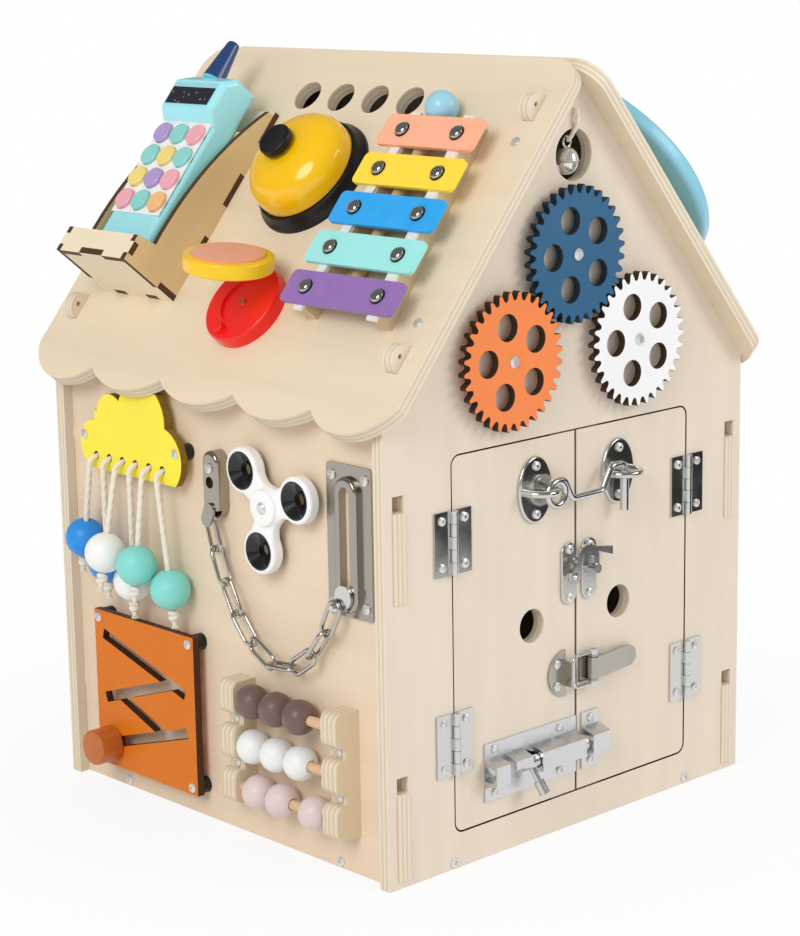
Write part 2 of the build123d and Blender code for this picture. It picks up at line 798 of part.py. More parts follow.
def clasp_hook():
    """Flat hook that arches over the post, with a flared finger tail on top."""
    across, rise = CLASP_THROAT_AT
    outer = CLASP_THROAT + CLASP_BAND
    hub = CLASP_HUB[0]
    arch = Circle(outer) - Circle(CLASP_THROAT)
    arch &= Pos(0, outer) * Rectangle(4 * outer, 2 * outer)
    arch += Pos(CLASP_THROAT + CLASP_BAND / 2, -CLASP_LEG / 2) * Rectangle(CLASP_BAND, CLASP_LEG)
    plate = Pos(across, rise) * arch + Circle(hub)
    arm = Polyline((across - outer, rise), (across - CLASP_THROAT, rise), (hub, 0), (-hub, 0), close=True)
    plate += make_face(arm)
    tail_x, tail_y, flare = CLASP_TAIL
    tail = Polyline(
        (across, rise + outer - LAP),
        (tail_x, tail_y + flare / 2),
        (tail_x, tail_y - flare / 2),
        (across + CLASP_TAIL_ROOT[0], rise + CLASP_TAIL_ROOT[1]),
        close=True,
    )
    plate += make_face(tail)
    plate -= Circle(CLASP_PIN + AXLE_CLEAR)
    place = on_front(clasp_base_x(-1), CLASP_Z + CLASP_PIVOT_RISE, CLASP_PLATE_OUT)
    return place * extrude(plate, CLASP_PLATE)


# Draw latch

def draw_latch_strike():
    tall, height = STRIKE_WALL
    left_half = Pos(-STRIKE_RADIUS, 0) * Rectangle(2 * STRIKE_RADIUS, 2 * STRIKE_RADIUS)
    half_disc = Circle(STRIKE_RADIUS) & left_half
    strike = extrude(half_disc, STRIKE_THICK)
    strike += Pos(-STRIKE_THICK / 2, 0, 0) * slab(STRIKE_THICK, tall, height)
    return on_front(STRIKE_X, DRAW_Z) * strike


def draw_latch_base():
    """Plate with two ears and the axle that carries the lever and the bail."""
    ear_in = LEVER_HALF + EAR_GAP
    plate = slab(DRAW_BASE, 2 * (ear_in + EAR_THICK), STRIKE_THICK)
    for step in (-1, 1):
        middle = step * (ear_in + EAR_THICK / 2)
        ear = Box(2 * EAR_RADIUS, EAR_THICK, LEVER_AXIS_OUT, align=BASE)
        ear += Pos(0, 0, LEVER_AXIS_OUT) * Rot(90, 0, 0) * Cylinder(EAR_RADIUS, EAR_THICK)
        plate += Pos(0, middle, 0) * ear
    axle = Rot(90, 0, 0) * Cylinder(LEVER_AXLE, 2 * BAIL_HALF + BAIL_EYE[1])
    plate += Pos(0, 0, LEVER_AXIS_OUT) * axle
    return on_front(LEVER_AXIS_X, DRAW_Z) * plate


def draw_latch_lever():
    """Pressed lever: a curl around the axle and a tongue that slopes to its round tip."""
    top = LEVER_CURL
    end = LEVER_LENGTH
    lip, rise = LEVER_LIP
    tongue = Polyline(
        (0, top),
        (end - lip, top - LEVER_DROP),
        (end, top - LEVER_DROP + rise),
        (end, top - LEVER_DROP + rise - LEVER_THICK),
        (end - lip, top - LEVER_DROP - LEVER_THICK),
        (0, top - LEVER_THICK),
        close=True,
    )
    side = make_face(tongue) + Circle(LEVER_CURL) - Circle(LEVER_AXLE + AXLE_CLEAR)
    lever = Rot(90, 0, 0) * extrude(side, LEVER_HALF, both=True)
    reach = end + LEVER_CURL
    plan = Pos(-LEVER_CURL + reach / 2, 0) * Rectangle(reach, 2 * LEVER_HALF)
    plan = fillet(plan.vertices().group_by(Axis.X)[-1], LEVER_TIP)
    lever = lever & extrude(plan, LEVER_LENGTH, both=True)
    return on_front(LEVER_AXIS_X, DRAW_Z, LEVER_AXIS_OUT) * lever


def draw_latch_bail():
    points = ((0, BAIL_HALF), (-BAIL_REACH, BAIL_HALF), (-BAIL_REACH, -BAIL_HALF), (0, -BAIL_HALF))
    bail = wire_along(FilletPolyline(*points, radius=BAIL_CORNER), BAIL_WIRE)
    for step in (-1, 1):
        eye = Cylinder(LEVER_AXLE + AXLE_CLEAR + BAIL_EYE[0], BAIL_EYE[1])
        bail += Pos(0, step * BAIL_HALF, 0) * Rot(90, 0, 0) * eye
    bore = Rot(90, 0, 0) * Cylinder(LEVER_AXLE + AXLE_CLEAR, 4 * BAIL_HALF)
    return on_front(LEVER_AXIS_X, DRAW_Z, LEVER_AXIS_OUT) * (bail - bore)


# Barrel bolt

def barrel_profile():
    """Folded hat section with the channel that the bolt runs in, local x up and y out."""
    hat = make_face(
        Polyline(
            (-BARREL_FOOT, 0),
            (BARREL_FOOT, 0),
            (BARREL_TOP, BARREL_HEIGHT),
            (-BARREL_TOP, BARREL_HEIGHT),
            close=True,
        )
    )
    bore = BOLT_RADIUS + BOLT_CLEAR
    hat -= Pos(0, BOLT_AXIS_OUT) * Circle(bore)
    hat -= Rectangle(2 * bore, 2 * BOLT_AXIS_OUT)
    return hat


def barrel_run(start, length):
    run = extrude(Plane.YZ * barrel_profile(), length)
    return Pos(start, 0, 0) * run


def bolt_plate():
    length, tall, thick = BOLT_PLATE
    plate = Box(length, tall, thick, align=LEFT_LOW)
    for start, run in BARREL_RUNS:
        plate += barrel_run(start, run)
    start, run, above = BARREL_HALF_RUN
    upper = Box(run, BARREL_FOOT, BARREL_HEIGHT, align=CORNER)
    plate += barrel_run(start, run) & Pos(start, above, 0) * upper
    return on_front(-length, BOLT_Z) * plate


def bolt_keeper():
    tall, thick = BOLT_PLATE[1:]
    strap = Box(KEEPER_LENGTH, tall, thick, align=LEFT_LOW)
    strap += barrel_run(0, KEEPER_LENGTH)
    return on_front(KEEPER_X, BOLT_Z) * strap


def bolt_rod():
    start, end = BOLT_ROD
    rod = Pos(start, 0, 0) * Rot(0, 90, 0) * Cylinder(BOLT_RADIUS, end - start, align=BASE)
    rod = chamfer(rod.faces().sort_by(Axis.X)[-1].edges(), BOLT_NOSE)
    stem_radius, stem_length = BOLT_STEM
    stem = drum(stem_radius, stem_length) + Pos(0, 0, stem_length - LAP) * drum(*BOLT_KNOB)
    rod += Pos(BOLT_KNOB_X, 0, 0) * Rot(*BOLT_KNOB_TURN) * stem
    return on_front(-BOLT_PLATE[0], BOLT_Z, BOLT_AXIS_OUT) * rod


# Gears

def gear_places():
    """Gear centres: the middle one and two below it, one tooth mesh away."""
    x, z = GEAR_MIDDLE
    drop = GEAR_SPACING * cos(radians(GEAR_SPREAD))
    across = GEAR_SPACING * sin(radians(GEAR_SPREAD))
    return ((x, z), (x - across, z - drop), (x + across, z - drop))


def gear_turns():
    """Turn of each gear so that its gaps take the middle gear's teeth."""
    pitch = 360 / GEAR_TEETH
    places = gear_places()
    turns = [0.0]
    for x, z in places[1:]:
        towards = degrees(atan2(z - places[0][1], x - places[0][0]))
        phase = (towards - turns[0]) / pitch
        turns.append(towards + 180 - (0.5 - phase) * pitch)
    return turns


def gear_outline():
    pitch = 360 / GEAR_TEETH
    root = GEAR_PITCH_RADIUS - GEAR_DEDENDUM
    tip = GEAR_PITCH_RADIUS + GEAR_ADDENDUM
    corners = []
    for tooth in range(GEAR_TEETH):
        for radius, share in ((root, -TOOTH_ROOT_SHARE), (tip, -TOOTH_TIP_SHARE),
                              (tip, TOOTH_TIP_SHARE), (root, TOOTH_ROOT_SHARE)):
            angle = radians((tooth + share) * pitch)
            corners.append((radius * cos(angle), radius * sin(angle)))
    return make_face(Polyline(*corners, close=True))


def gear(index):
    face = Rot(0, 0, gear_turns()[index]) * gear_outline() - Circle(GEAR_AXLE + AXLE_CLEAR)
    holes = PolarLocations(GEAR_HOLE_RING, GEAR_HOLES, start_angle=GEAR_HOLE_TURN[index])
    face -= holes * Circle(GEAR_HOLE_RADIUS)
    x, z = gear_places()[index]
    return on_front(x, z, GEAR_OUT) * extrude(face, GEAR_THICK)


def pivot_posts():
    """Screw axles of the gears and the spinner, and the steering wheel's post."""
    posts = []
    for x, z in gear_places():
        top = GEAR_OUT + GEAR_THICK + AXLE_FLOAT
        post = drum(*GEAR_WASHER) + drum(GEAR_AXLE, top)
        posts.append(on_front(x, z) * (post + Pos(0, 0, top) * screw_head(AXLE_HEAD)))
    top = SPINNER_OUT + SPINNER_THICK + SPINNER_CAP[1] + AXLE_FLOAT
    post = drum(SPINNER_HUB, SPINNER_OUT - AXLE_FLOAT) + drum(SPINNER_AXLE, top)
    posts.append(on_left(*SPINNER) * (post + Pos(0, 0, top) * screw_head(AXLE_HEAD)))
    top = WHEEL_OUT + WHEEL_THICK + AXLE_FLOAT
    post = drum(*WHEEL_POST) + drum(WHEEL_AXLE, top) + Pos(0, 0, top) * screw_head(*WHEEL_SCREW)
    posts.append(on_roof(1, *WHEEL) * post)
    return posts


# Jingle bell

def jingle_ring_z():
    return JINGLE_Z + JINGLE_RADIUS + JINGLE_RING[0] - JINGLE_RING[1] / 2


def jingle_bell():
    """Pressed ball of two halves with a rolled seam, a sound slot and a hanging ring."""
    seam, seam_height = JINGLE_SEAM
    ball = Sphere(JINGLE_RADIUS) + Cylinder(JINGLE_RADIUS + seam, seam_height)
    ball -= Pos(0, 0, -JINGLE_RADIUS) * Box(3 * JINGLE_RADIUS, JINGLE_SLOT, JINGLE_RADIUS)
    ball += Pos(0, 0, jingle_ring_z() - JINGLE_Z) * Rot(90, 0, 0) * Torus(*JINGLE_RING)
    return Pos(BELL_HOLE[0], JINGLE_BACK - DEPTH / 2, JINGLE_Z) * ball


def bell_cord():
    """Short cord from its hole down over the gable's face and back to the bell's ring."""
    x = BELL_HOLE[0]
    top = BELL_CORD_HOLE[0]
    front = -DEPTH / 2
    points = (
        (x, front + PLY - BELL_CORD_RADIUS, top),
        (x, front - BELL_CORD_OUT[0], top),
        (x, front - BELL_CORD_OUT[1], top - BELL_CORD_FALL),
        (x, front + JINGLE_BACK, jingle_ring_z()),
    )
    return cord_along("bell cord", points, BELL_CORD_BENDS, BELL_CORD_RADIUS)


# Cloud and its strands

def cloud_plate():
    """Cloud of four round lobes, flat at the foot and under the eave, with a hole for each strand."""
    middle = sum(lobe[0] for lobe in CLOUD_LOBES[:2]) / 2
    span = CLOUD_LOBES[1][0] - CLOUD_LOBES[0][0]
    tall = CLOUD_LOBES[2][1] - CLOUD_FOOT
    face = Pos(0, CLOUD_FOOT + tall / 2) * Rectangle(span, tall)
    for back, up, radius in CLOUD_LOBES:
        face += Pos(middle - back, up) * Circle(radius)
    face &= Pos(0, (CLOUD_FOOT + CLOUD_TOP) / 2) * Rectangle(3 * span, CLOUD_TOP - CLOUD_FOOT)
    for back in strand_backs():
        face -= Pos(middle - back, STRAND_Z) * Circle(STRAND_HOLE)
    return on_left(middle, 0, SPACER_LENGTH) * extrude(face, PLATE_THICK)


def strand_backs():
    return [STRAND_BACK + STRAND_PITCH * step for step in range(len(STRAND_BEADS))]


def maze_corners():
    back, up = MAZE_MIDDLE
    half_wide = MAZE_SIZE[0] / 2 - MAZE_SCREW_INSET
    half_tall = MAZE_SIZE[1] / 2 - MAZE_SCREW_INSET
    return [(back + a * half_wide, up + b * half_tall) for a in (-1, 1) for b in (-1, 1)]


def plate_spacers():
    places = list(CLOUD_SCREWS) + maze_corners()
    return [on_left(back, up) * drum(SPACER_RADIUS, SPACER_LENGTH) for back, up in places]


def wall_point(out, back, up):
    return Vector(-WALL_FACE - out, back - DEPTH / 2, up)


def strand_lines():
    """Start in the hole, the drop over the plate's face and the end of each strand's tail."""
    lines = []
    for back, place in zip(strand_backs(), STRAND_BEADS):
        start = wall_point(SPACER_LENGTH + STRAND_START, back, STRAND_Z)
        drop = wall_point(STRAND_DROP_OUT, back, STRAND_Z - STRAND_SAG)
        bead = wall_point(*place)
        hang = (bead - drop).normalized()
        lines.append((start, drop, bead, hang))
    return lines


def rain_cords():
    cords = []
    for start, drop, bead, hang in strand_lines():
        tail = bead + hang * (BEAD_RADIUS + STRAND_TAIL)
        cord = cord_along("rain cord", (start, drop, tail), (STRAND_BEND,), STRAND_RADIUS)
        knot = bead + hang * (BEAD_RADIUS + KNOT_RADIUS)
        cords.append(cord + Pos(*knot) * Sphere(KNOT_RADIUS))
    return cords


def rain_beads():
    beads = []
    for start, drop, bead, hang in strand_lines():
        ball = Sphere(BEAD_RADIUS) - Cylinder(BEAD_BORE, 3 * BEAD_RADIUS)
        beads.append(Plane(bead, z_dir=hang).location * ball)
    return beads


# Maze

def maze_leg(start, end):
    along = hypot(end[0] - start[0], end[1] - start[1])
    middle = ((start[0] + end[0]) / 2, (start[1] + end[1]) / 2)
    turn = degrees(atan2(end[1] - start[1], start[0] - end[0]))
    slot = Rectangle(along + MAZE_SLOT, MAZE_SLOT)
    return Pos(MAZE_MIDDLE[0] - middle[0], middle[1] - MAZE_MIDDLE[1]) * Rot(0, 0, turn) * slot


def maze_plate():
    face = Rectangle(*MAZE_SIZE)
    for start, end in MAZE_LEGS:
        face -= maze_leg(start, end)
    return on_left(*MAZE_MIDDLE, SPACER_LENGTH) * extrude(face, PLATE_THICK)


def maze_knob():
    """Turned knob with a stem in the slot and a flange behind the plate."""
    back, up = MAZE_LEGS[-1][0]
    flange_radius, flange = KNOB_FLANGE
    foot = SPACER_LENGTH - KNOB_CLEAR - flange
    knob = Pos(0, 0, foot) * drum(flange_radius, flange)
    knob += Pos(0, 0, foot) * drum(KNOB_STEM, PLATE_FACE - foot + LAP)
    handle = fillet(top_edges(drum(KNOB_RADIUS, KNOB_LENGTH)), KNOB_ROUND)
    knob += Pos(0, 0, PLATE_FACE + KNOB_CLEAR) * handle
    return on_left(back, up) * knob


# Spinner

def spinner_face():
    """Three round lobes blended into a round middle."""
    face = Circle(SPINNER_WAIST)
    for step in range(3):
        arm = Rot(0, 0, 120 * step) * (
            Pos(SPINNER_REACH / 2, 0) * Rectangle(SPINNER_REACH, SPINNER_WAIST)
            + Pos(SPINNER_REACH, 0) * Circle(SPINNER_LOBE)
        )
        face += arm
    return face


def spinner_turn():
    return on_left(*SPINNER, SPINNER_OUT) * Rot(0, 0, 180 - SPINNER_TURN)


def spinner_body():
    body = extrude(spinner_face(), SPINNER_THICK)
    creases = []
    for edge in body.edges().filter_by(Axis.Z):
        if hypot(edge.center().X, edge.center().Y) < SPINNER_REACH:
            creases.append(edge)
    body = fillet(creases, SPINNER_BLEND)
    body += Pos(0, 0, SPINNER_THICK) * drum(*SPINNER_CAP)
    body -= PolarLocations(SPINNER_REACH, 3) * drum(RING_RADIUS + RING_FIT, SPINNER_THICK)
    body -= drum(SPINNER_AXLE + AXLE_CLEAR, 2 * SPINNER_THICK)
    return spinner_turn() * body


def spinner_rings():
    """Dished rings pressed into the lobes."""
    half = SPINNER_THICK / 2
    profile = Polyline(
        (RING_BORE, 0),
        (RING_RADIUS, 0),
        (RING_RADIUS, SPINNER_THICK),
        (RING_RADIUS - RING_LIP, SPINNER_THICK),
        (RING_BORE, half),
        close=True,
    )
    ring = revolve(Plane.XZ * make_face(profile), Axis.Z)
    return [spinner_turn() * place * ring for place in PolarLocations(SPINNER_REACH, 3)]


# Door chain

def chain_curve():
    """Catenary through both chain ends that dips to CHAIN_DIP: its scale and its lowest back."""
    (top_back, top_up), (end_back, end_up) = CHAIN_ENDS
    short, long = 1.0, 1000.0
    while long - short > 0.001:
        scale = (short + long) / 2
        left = catenary_reach(top_up - CHAIN_DIP, scale)
        right = catenary_reach(end_up - CHAIN_DIP, scale)
        if left + right < top_back - end_back:
            short = scale
        else:
            long = scale
    return scale, top_back - left


def catenary_reach(rise, scale):
    """Level distance from a catenary's lowest point to where it has risen so far."""
    return scale * asinh(sqrt((1 + rise / scale) ** 2 - 1))


def chain_points():
    """Equally spaced joints along the catenary as out, back and up, from the anchor to the slider."""
    scale, low = chain_curve()
    first = scale * sinh((CHAIN_ENDS[0][0] - low) / scale)
    last = scale * sinh((CHAIN_ENDS[1][0] - low) / scale)
    points = []
    for step in range(CHAIN_LINKS + 1):
        share = step / CHAIN_LINKS
        back = low + scale * asinh((first + (last - first) * share) / scale)
        up = CHAIN_DIP + scale * (cosh((back - low) / scale) - 1)
        points.append(Vector(CHAIN_OUT[0] + (CHAIN_OUT[1] - CHAIN_OUT[0]) * share, back, up))
    return points


def chain_pin(end, neighbour):
    """Back and height of the pin that sits inside an end link."""
    inward = (neighbour - end).normalized()
    place = end + inward * (CHAIN_PIN + SLIDER_GAP - CHAIN_SLACK)
    return place.Y, place.Z


def chain_link(length):
    """Oblong link of round wire, lying along local x."""
    straight = length / 2 - CHAIN_HALF_WIDTH + CHAIN_WIRE + CHAIN_SLACK
    side = CHAIN_HALF_WIDTH
    path = Line((-straight, -side), (straight, -side))
    path += ThreePointArc((straight, -side), (straight + side, 0), (straight, side))
    path += Line((straight, side), (-straight, side))
    path += ThreePointArc((-straight, side), (-straight - side, 0), (-straight, -side))
    section = Plane((0, -side, 0), z_dir=(1, 0, 0)) * Circle(CHAIN_WIRE)
    return sweep(section, path=path)


def door_chain():
    """Links along the catenary, every other one turned a quarter."""
    links = []
    points = [wall_point(*point) for point in chain_points()]
    for step, (start, end) in enumerate(zip(points, points[1:])):
        along = end - start
        across = Vector(-1, 0, 0) if step % 2 == 0 else Vector(-1, 0, 0).cross(along)
        place = Plane((start + end) / 2, x_dir=along, z_dir=across).location
        links.append(place * chain_link(along.length))
    return links


def slider_place():
    """Back and height of the slider's stem at the foot of its slot."""
    foot = SLOT_PLATE[1] + SLOT_DROP - SLOT_WAY[0] / 2
    return (SLOT_PLATE[0], foot + SLOT_WAY[1] / 2 + SLIDER_GAP)


def rounded_tongue(start, start_radius, end, end_radius, thick):
    """Flat tongue between two round ends."""
    ends = Pos(*start) * Circle(start_radius).edge() + Pos(*end) * Circle(end_radius).edge()
    return extrude(make_hull(ends.edges()), thick)


def anchor_plate():
    """Drawn anchor cup, open at its foot, with a tongue and the pin of the first link."""
    tall, wide, deep = ANCHOR_SIZE
    cup = extrude(Rot(0, 0, 90) * SlotOverall(tall, wide), deep)
    cup = fillet(top_edges(cup), ANCHOR_ROUND)
    cup -= Pos(0, ANCHOR_HOLE_RISE, 0) * drum(ANCHOR_HOLE, deep)
    pocket_foot = CHAIN_OUT[0] - CHAIN_WIRE - SLIDER_GAP
    cup -= Pos(0, -tall / 2, pocket_foot) * slab(wide, 2 * ANCHOR_POCKET, deep)
    points = chain_points()
    pin_back, pin_up = chain_pin(points[0], points[1])
    pin = (ANCHOR[0] - pin_back, pin_up - ANCHOR[1])
    ear_radius, ear_thick = ANCHOR_EAR
    tongue = rounded_tongue((0, -ANCHOR_EAR_ROOT), ear_radius, pin, ear_radius, ear_thick)
    cup += Pos(0, 0, deep) * tongue
    foot = CHAIN_OUT[0] - CHAIN_WIRE
    cup += Pos(*pin, foot) * drum(CHAIN_PIN, deep + ear_thick - foot)
    return on_left(*ANCHOR) * cup


def slot_plate():
    """Plate with a raised rim around the slot that the slider runs in."""
    wide, tall, thick = SLOT_PLATE_SIZE
    plate = extrude(RectangleRounded(wide, tall, SLOT_CORNER), thick)
    rim_long, rim_wide, rim_high = SLOT_RIM
    rim = extrude(Rot(0, 0, 90) * SlotOverall(rim_long, rim_wide), rim_high)
    rim = fillet(top_edges(rim), SLOT_RIM_ROUND)
    way = extrude(Rot(0, 0, 90) * SlotOverall(*SLOT_WAY), rim_high)
    plate = plate + Pos(0, SLOT_DROP, 0) * rim - Pos(0, SLOT_DROP, 0) * way
    return on_left(*SLOT_PLATE) * plate


def chain_slider():
    """Stud that runs in the slot, with an ear and the pin that holds the last link."""
    disc_radius, disc = SLIDER_DISC
    seat = SLOT_RIM[2] + SLIDER_GAP
    back, up = slider_place()
    points = chain_points()
    pin_back, pin_up = chain_pin(points[-1], points[-2])
    pin = (back - pin_back, pin_up - up)
    pin_top = CHAIN_OUT[1] + CHAIN_WIRE + SLIDER_GAP
    stud = Pos(0, 0, SLIDER_GAP) * drum(SLIDER_STEM, seat)
    stud += Pos(0, 0, seat) * rounded_tongue((0, 0), disc_radius, pin, SLIDER_EAR, disc)
    stud += Pos(*pin, seat) * drum(CHAIN_PIN, pin_top - seat)
    stud += Pos(*pin, pin_top) * screw_head()
    return on_left(back, up) * stud


# Abacus

def bracket_middles():
    first = ABACUS_FRONT + BRACKET_THICK / 2
    return (first, first + BRACKET_THICK + ABACUS_INNER)


def bracket():
    """Scalloped bracket seen from the side: local x out of the wall, y up."""
    tall, reach, corner = BRACKET_LOBE
    foot = ROD_Z[0] - BRACKET_END
    head = ROD_Z[-1] + BRACKET_END
    face = Pos(BRACKET_SPINE / 2, (foot + head) / 2) * Rectangle(BRACKET_SPINE, head - foot)
    for z in ROD_Z:
        lobe = Pos(reach / 2, z) * Rectangle(reach, tall)
        face += fillet(lobe.vertices().group_by(Axis.X)[-1], corner)
    return face


def abacus_frame():
    pieces = []
    for middle in bracket_middles():
        start = wall_point(0, middle - BRACKET_THICK / 2, 0)
        plane = Plane(start, x_dir=(-1, 0, 0), z_dir=(0, 1, 0))
        pieces.append(plane.location * extrude(bracket(), BRACKET_THICK))
    inner = ABACUS_FRONT + BRACKET_THICK
    for z in ROD_Z:
        rod = Plane(wall_point(ROD_OUT, inner, z), z_dir=(0, 1, 0)).location
        pieces.append(rod * drum(ROD_RADIUS, ABACUS_INNER))
    return pieces


def bead_row(backs, z):
    beads = []
    for back in backs:
        ball = Sphere(ABACUS_BEAD) - Cylinder(ABACUS_BORE, 3 * ABACUS_BEAD)
        beads.append(Plane(wall_point(ROD_OUT, back, z), z_dir=(0, 1, 0)).location * ball)
    return beads


# Phone cradle and phone, drawn on the left roof in side view: local x down the slope, y out

def cradle_side_plane(across):
    """Side view plane on the left roof, across the cradle from its middle towards the back."""
    start = on_left_roof(CRADLE_MIDDLE + across, 0).position
    down_slope = (-cos(SLOPE), 0, -sin(SLOPE))
    return Plane(start, x_dir=down_slope, z_dir=(0, 1, 0))


def cradle_side_face():
    """Side cheek: tall at the lip, stepped down at the shoulder, swept away up the slope."""
    shoulder_down, shoulder_out = CRADLE_SHOULDER
    tip_down, tip_out = CRADLE_TIP
    lip_down = CRADLE_FOOT - LIP_HEIGHT
    sweep_arc = ThreePointArc((shoulder_down, shoulder_out), CRADLE_SWEEP, (tip_down, tip_out))
    rest = Polyline(
        (tip_down, tip_out),
        (tip_down, 0),
        (CRADLE_FOOT, 0),
        (CRADLE_FOOT, LIP_OUT),
        (lip_down, LIP_OUT),
        (shoulder_down, shoulder_out),
    )
    return make_face(sweep_arc + rest)


def cradle_cheek(across):
    """One cheek with notches for the lip, the foot panel and the base board's fingers."""
    cheek = cradle_side_face()
    lip_middle = CRADLE_FOOT - LIP_HEIGHT / 2
    lip_notch = Rectangle(LIP_HEIGHT - 2 * LIP_FINGER, CRADLE_PLY)
    cheek -= Pos(lip_middle, LIP_OUT - CRADLE_PLY / 2) * lip_notch
    foot_notch = Rectangle(2 * CRADLE_PLY, 2 * CHEEK_FINGER_OUT)
    cheek -= Pos(CRADLE_FOOT, 0) * foot_notch
    for start in BOARD_FINGERS:
        cheek -= Pos(start + BOARD_FINGER / 2, 0) * Rectangle(BOARD_FINGER, 2 * CRADLE_PLY)
    return cradle_side_plane(across).location * extrude(cheek, CRADLE_PLY)


def cradle_lip():
    half = CRADLE_WIDTH / 2
    lip = Rectangle(CRADLE_WIDTH, LIP_HEIGHT)
    for across in (-1, 1):
        for along in (-1, 1):
            lip -= Pos(across * half, along * LIP_HEIGHT / 2) * Rectangle(2 * CRADLE_PLY, 2 * LIP_FINGER)
    lip -= Pos(0, -LIP_HEIGHT / 2) * Rectangle(LIP_TONGUE, 2 * CRADLE_PLY)
    place = on_left_roof(CRADLE_MIDDLE, CRADLE_FOOT - LIP_HEIGHT / 2, LIP_OUT - CRADLE_PLY)
    return place * extrude(lip, CRADLE_PLY)


def cradle_foot():
    """Foot panel across the cheeks, with tongues up into the lip and notches for the base board."""
    inner = CRADLE_WIDTH - 2 * CRADLE_PLY
    tall = LIP_OUT - CRADLE_PLY
    face = Pos(0, tall / 2) * Rectangle(inner, tall)
    face += Pos(0, CHEEK_FINGER_OUT / 2) * Rectangle(CRADLE_WIDTH, CHEEK_FINGER_OUT)
    face += Pos(0, LIP_OUT / 2) * Rectangle(LIP_TONGUE, LIP_OUT)
    tongue, offset = BOARD_TONGUE
    for side in (-1, 1):
        face -= Pos(side * offset, 0) * Rectangle(tongue, 2 * CRADLE_PLY)
    down_slope = (-cos(SLOPE), 0, -sin(SLOPE))
    start = on_left_roof(CRADLE_MIDDLE, CRADLE_FOOT - CRADLE_PLY).position
    place = Plane(start, x_dir=(0, -1, 0), z_dir=down_slope)
    return place.location * extrude(face, CRADLE_PLY)


def cradle_board():
    """Base board on the roof whose fingers show through the cheeks and the foot panel."""
    inner = CRADLE_WIDTH - 2 * CRADLE_PLY
    top = BOARD_FINGERS[0]
    end = CRADLE_FOOT - CRADLE_PLY
    face = Pos(0, -(top + end) / 2) * Rectangle(inner, end - top)
    for start in BOARD_FINGERS:
        face += Pos(0, -start - BOARD_FINGER / 2) * Rectangle(CRADLE_WIDTH, BOARD_FINGER)
    tongue, offset = BOARD_TONGUE
    for side in (-1, 1):
        face += Pos(side * offset, -end) * Rectangle(tongue, 2 * CRADLE_PLY)
    return on_left_roof(CRADLE_MIDDLE, 0) * extrude(face, CRADLE_PLY)


def cradle_rest():
    """Panel between the cheeks that the phone lies on."""
    inner = CRADLE_WIDTH - 2 * CRADLE_PLY
    top = BOARD_FINGERS[0] + BOARD_FINGER
    end = CRADLE_FOOT - CRADLE_PLY
    place = on_left_roof(CRADLE_MIDDLE, (top + end) / 2, CRADLE_REST_OUT)
    return place * slab(inner, end - top, PHONE_BACK_OUT - CRADLE_REST_OUT)


def phone_cradle():
    half = CRADLE_WIDTH / 2
    cheeks = [cradle_cheek(-half), cradle_cheek(half - CRADLE_PLY)]
    return cheeks + [cradle_lip(), cradle_foot(), cradle_board(), cradle_rest()]


def phone_side():
    return make_face(
        Polyline(
            (PHONE_FOOT, PHONE_BACK_OUT),
            (PHONE_FOOT, PHONE_FACE_OUT),
            (PHONE_NECK[0], PHONE_FACE_OUT),
            (PHONE_NECK[1], PHONE_HEAD_OUT),
            (PHONE_BROW, PHONE_HEAD_OUT),
            (PHONE_TOP, PHONE_FACE_OUT),
            (PHONE_TOP, PHONE_BACK_OUT),
            close=True,
        )
    )


def phone_body():
    """Moulded handset with a raised head, screen, key plate and a tapered antenna."""
    plane = cradle_side_plane(-PHONE_WIDTH / 2)
    body = extrude(phone_side(), PHONE_WIDTH)
    sides = [body.faces().sort_by(Axis.Z)[0], body.faces().sort_by(Axis.Z)[-1]]
    rims = [edge for side in sides for edge in side.outer_wire().edges()]
    body = plane.location * fillet(rims, PHONE_ROUND)
    wide, long, thick = KEY_PLATE
    plate = on_left_roof(CRADLE_MIDDLE, KEY_DOWN, PHONE_FACE_OUT) * slab(wide, long, thick)
    for place in key_places():
        pocket = drum(KEY_RADIUS + KEY_CLEAR, 2 * KEY_HEIGHT)
        sink = place * Pos(0, 0, -KEY_TRAVEL - KEY_CLEAR) * pocket
        body -= sink
        plate -= sink
    screen = on_left_roof(CRADLE_MIDDLE, SCREEN_DOWN, PHONE_HEAD_OUT) * slab(*SCREEN_SIZE)
    mast = Plane(
        on_left_roof(ANTENNA_BACK, PHONE_TOP, ANTENNA_OUT).position,
        z_dir=(cos(SLOPE), 0, sin(SLOPE)),
    )
    antenna = Cone(ANTENNA_BASE, ANTENNA_TIP, ANTENNA_LENGTH, align=BASE)
    antenna = fillet(top_edges(antenna), ANTENNA_ROUND)
    return [body, plate, screen, mast.location * antenna]


def key_places():
    """Foot of each key, four rows of three."""
    places = []
    foot = PHONE_FACE_OUT + KEY_PLATE[2] + KEY_PROUD - KEY_HEIGHT
    for row in range(KEY_ROWS):
        for column in range(KEY_COLUMNS):
            back = CRADLE_MIDDLE + (column - (KEY_COLUMNS - 1) / 2) * KEY_PITCH[0]
            down = KEY_DOWN + (row - (KEY_ROWS - 1) / 2) * KEY_PITCH[1]
            places.append(on_left_roof(back, down, foot))
    return places


def phone_keys():
    key = fillet(top_edges(drum(KEY_RADIUS, KEY_HEIGHT)), KEY_ROUND)
    return [place * key for place in key_places()]


# Call bell

def bell_base():
    """Moulded base that flares towards its foot."""
    radius, height = CALL_BASE
    foot = Cone(radius + CALL_FLARE, radius, height, align=BASE)
    return on_left_roof(*CALL_BELL) * fillet(top_edges(foot), CALL_ROUND)


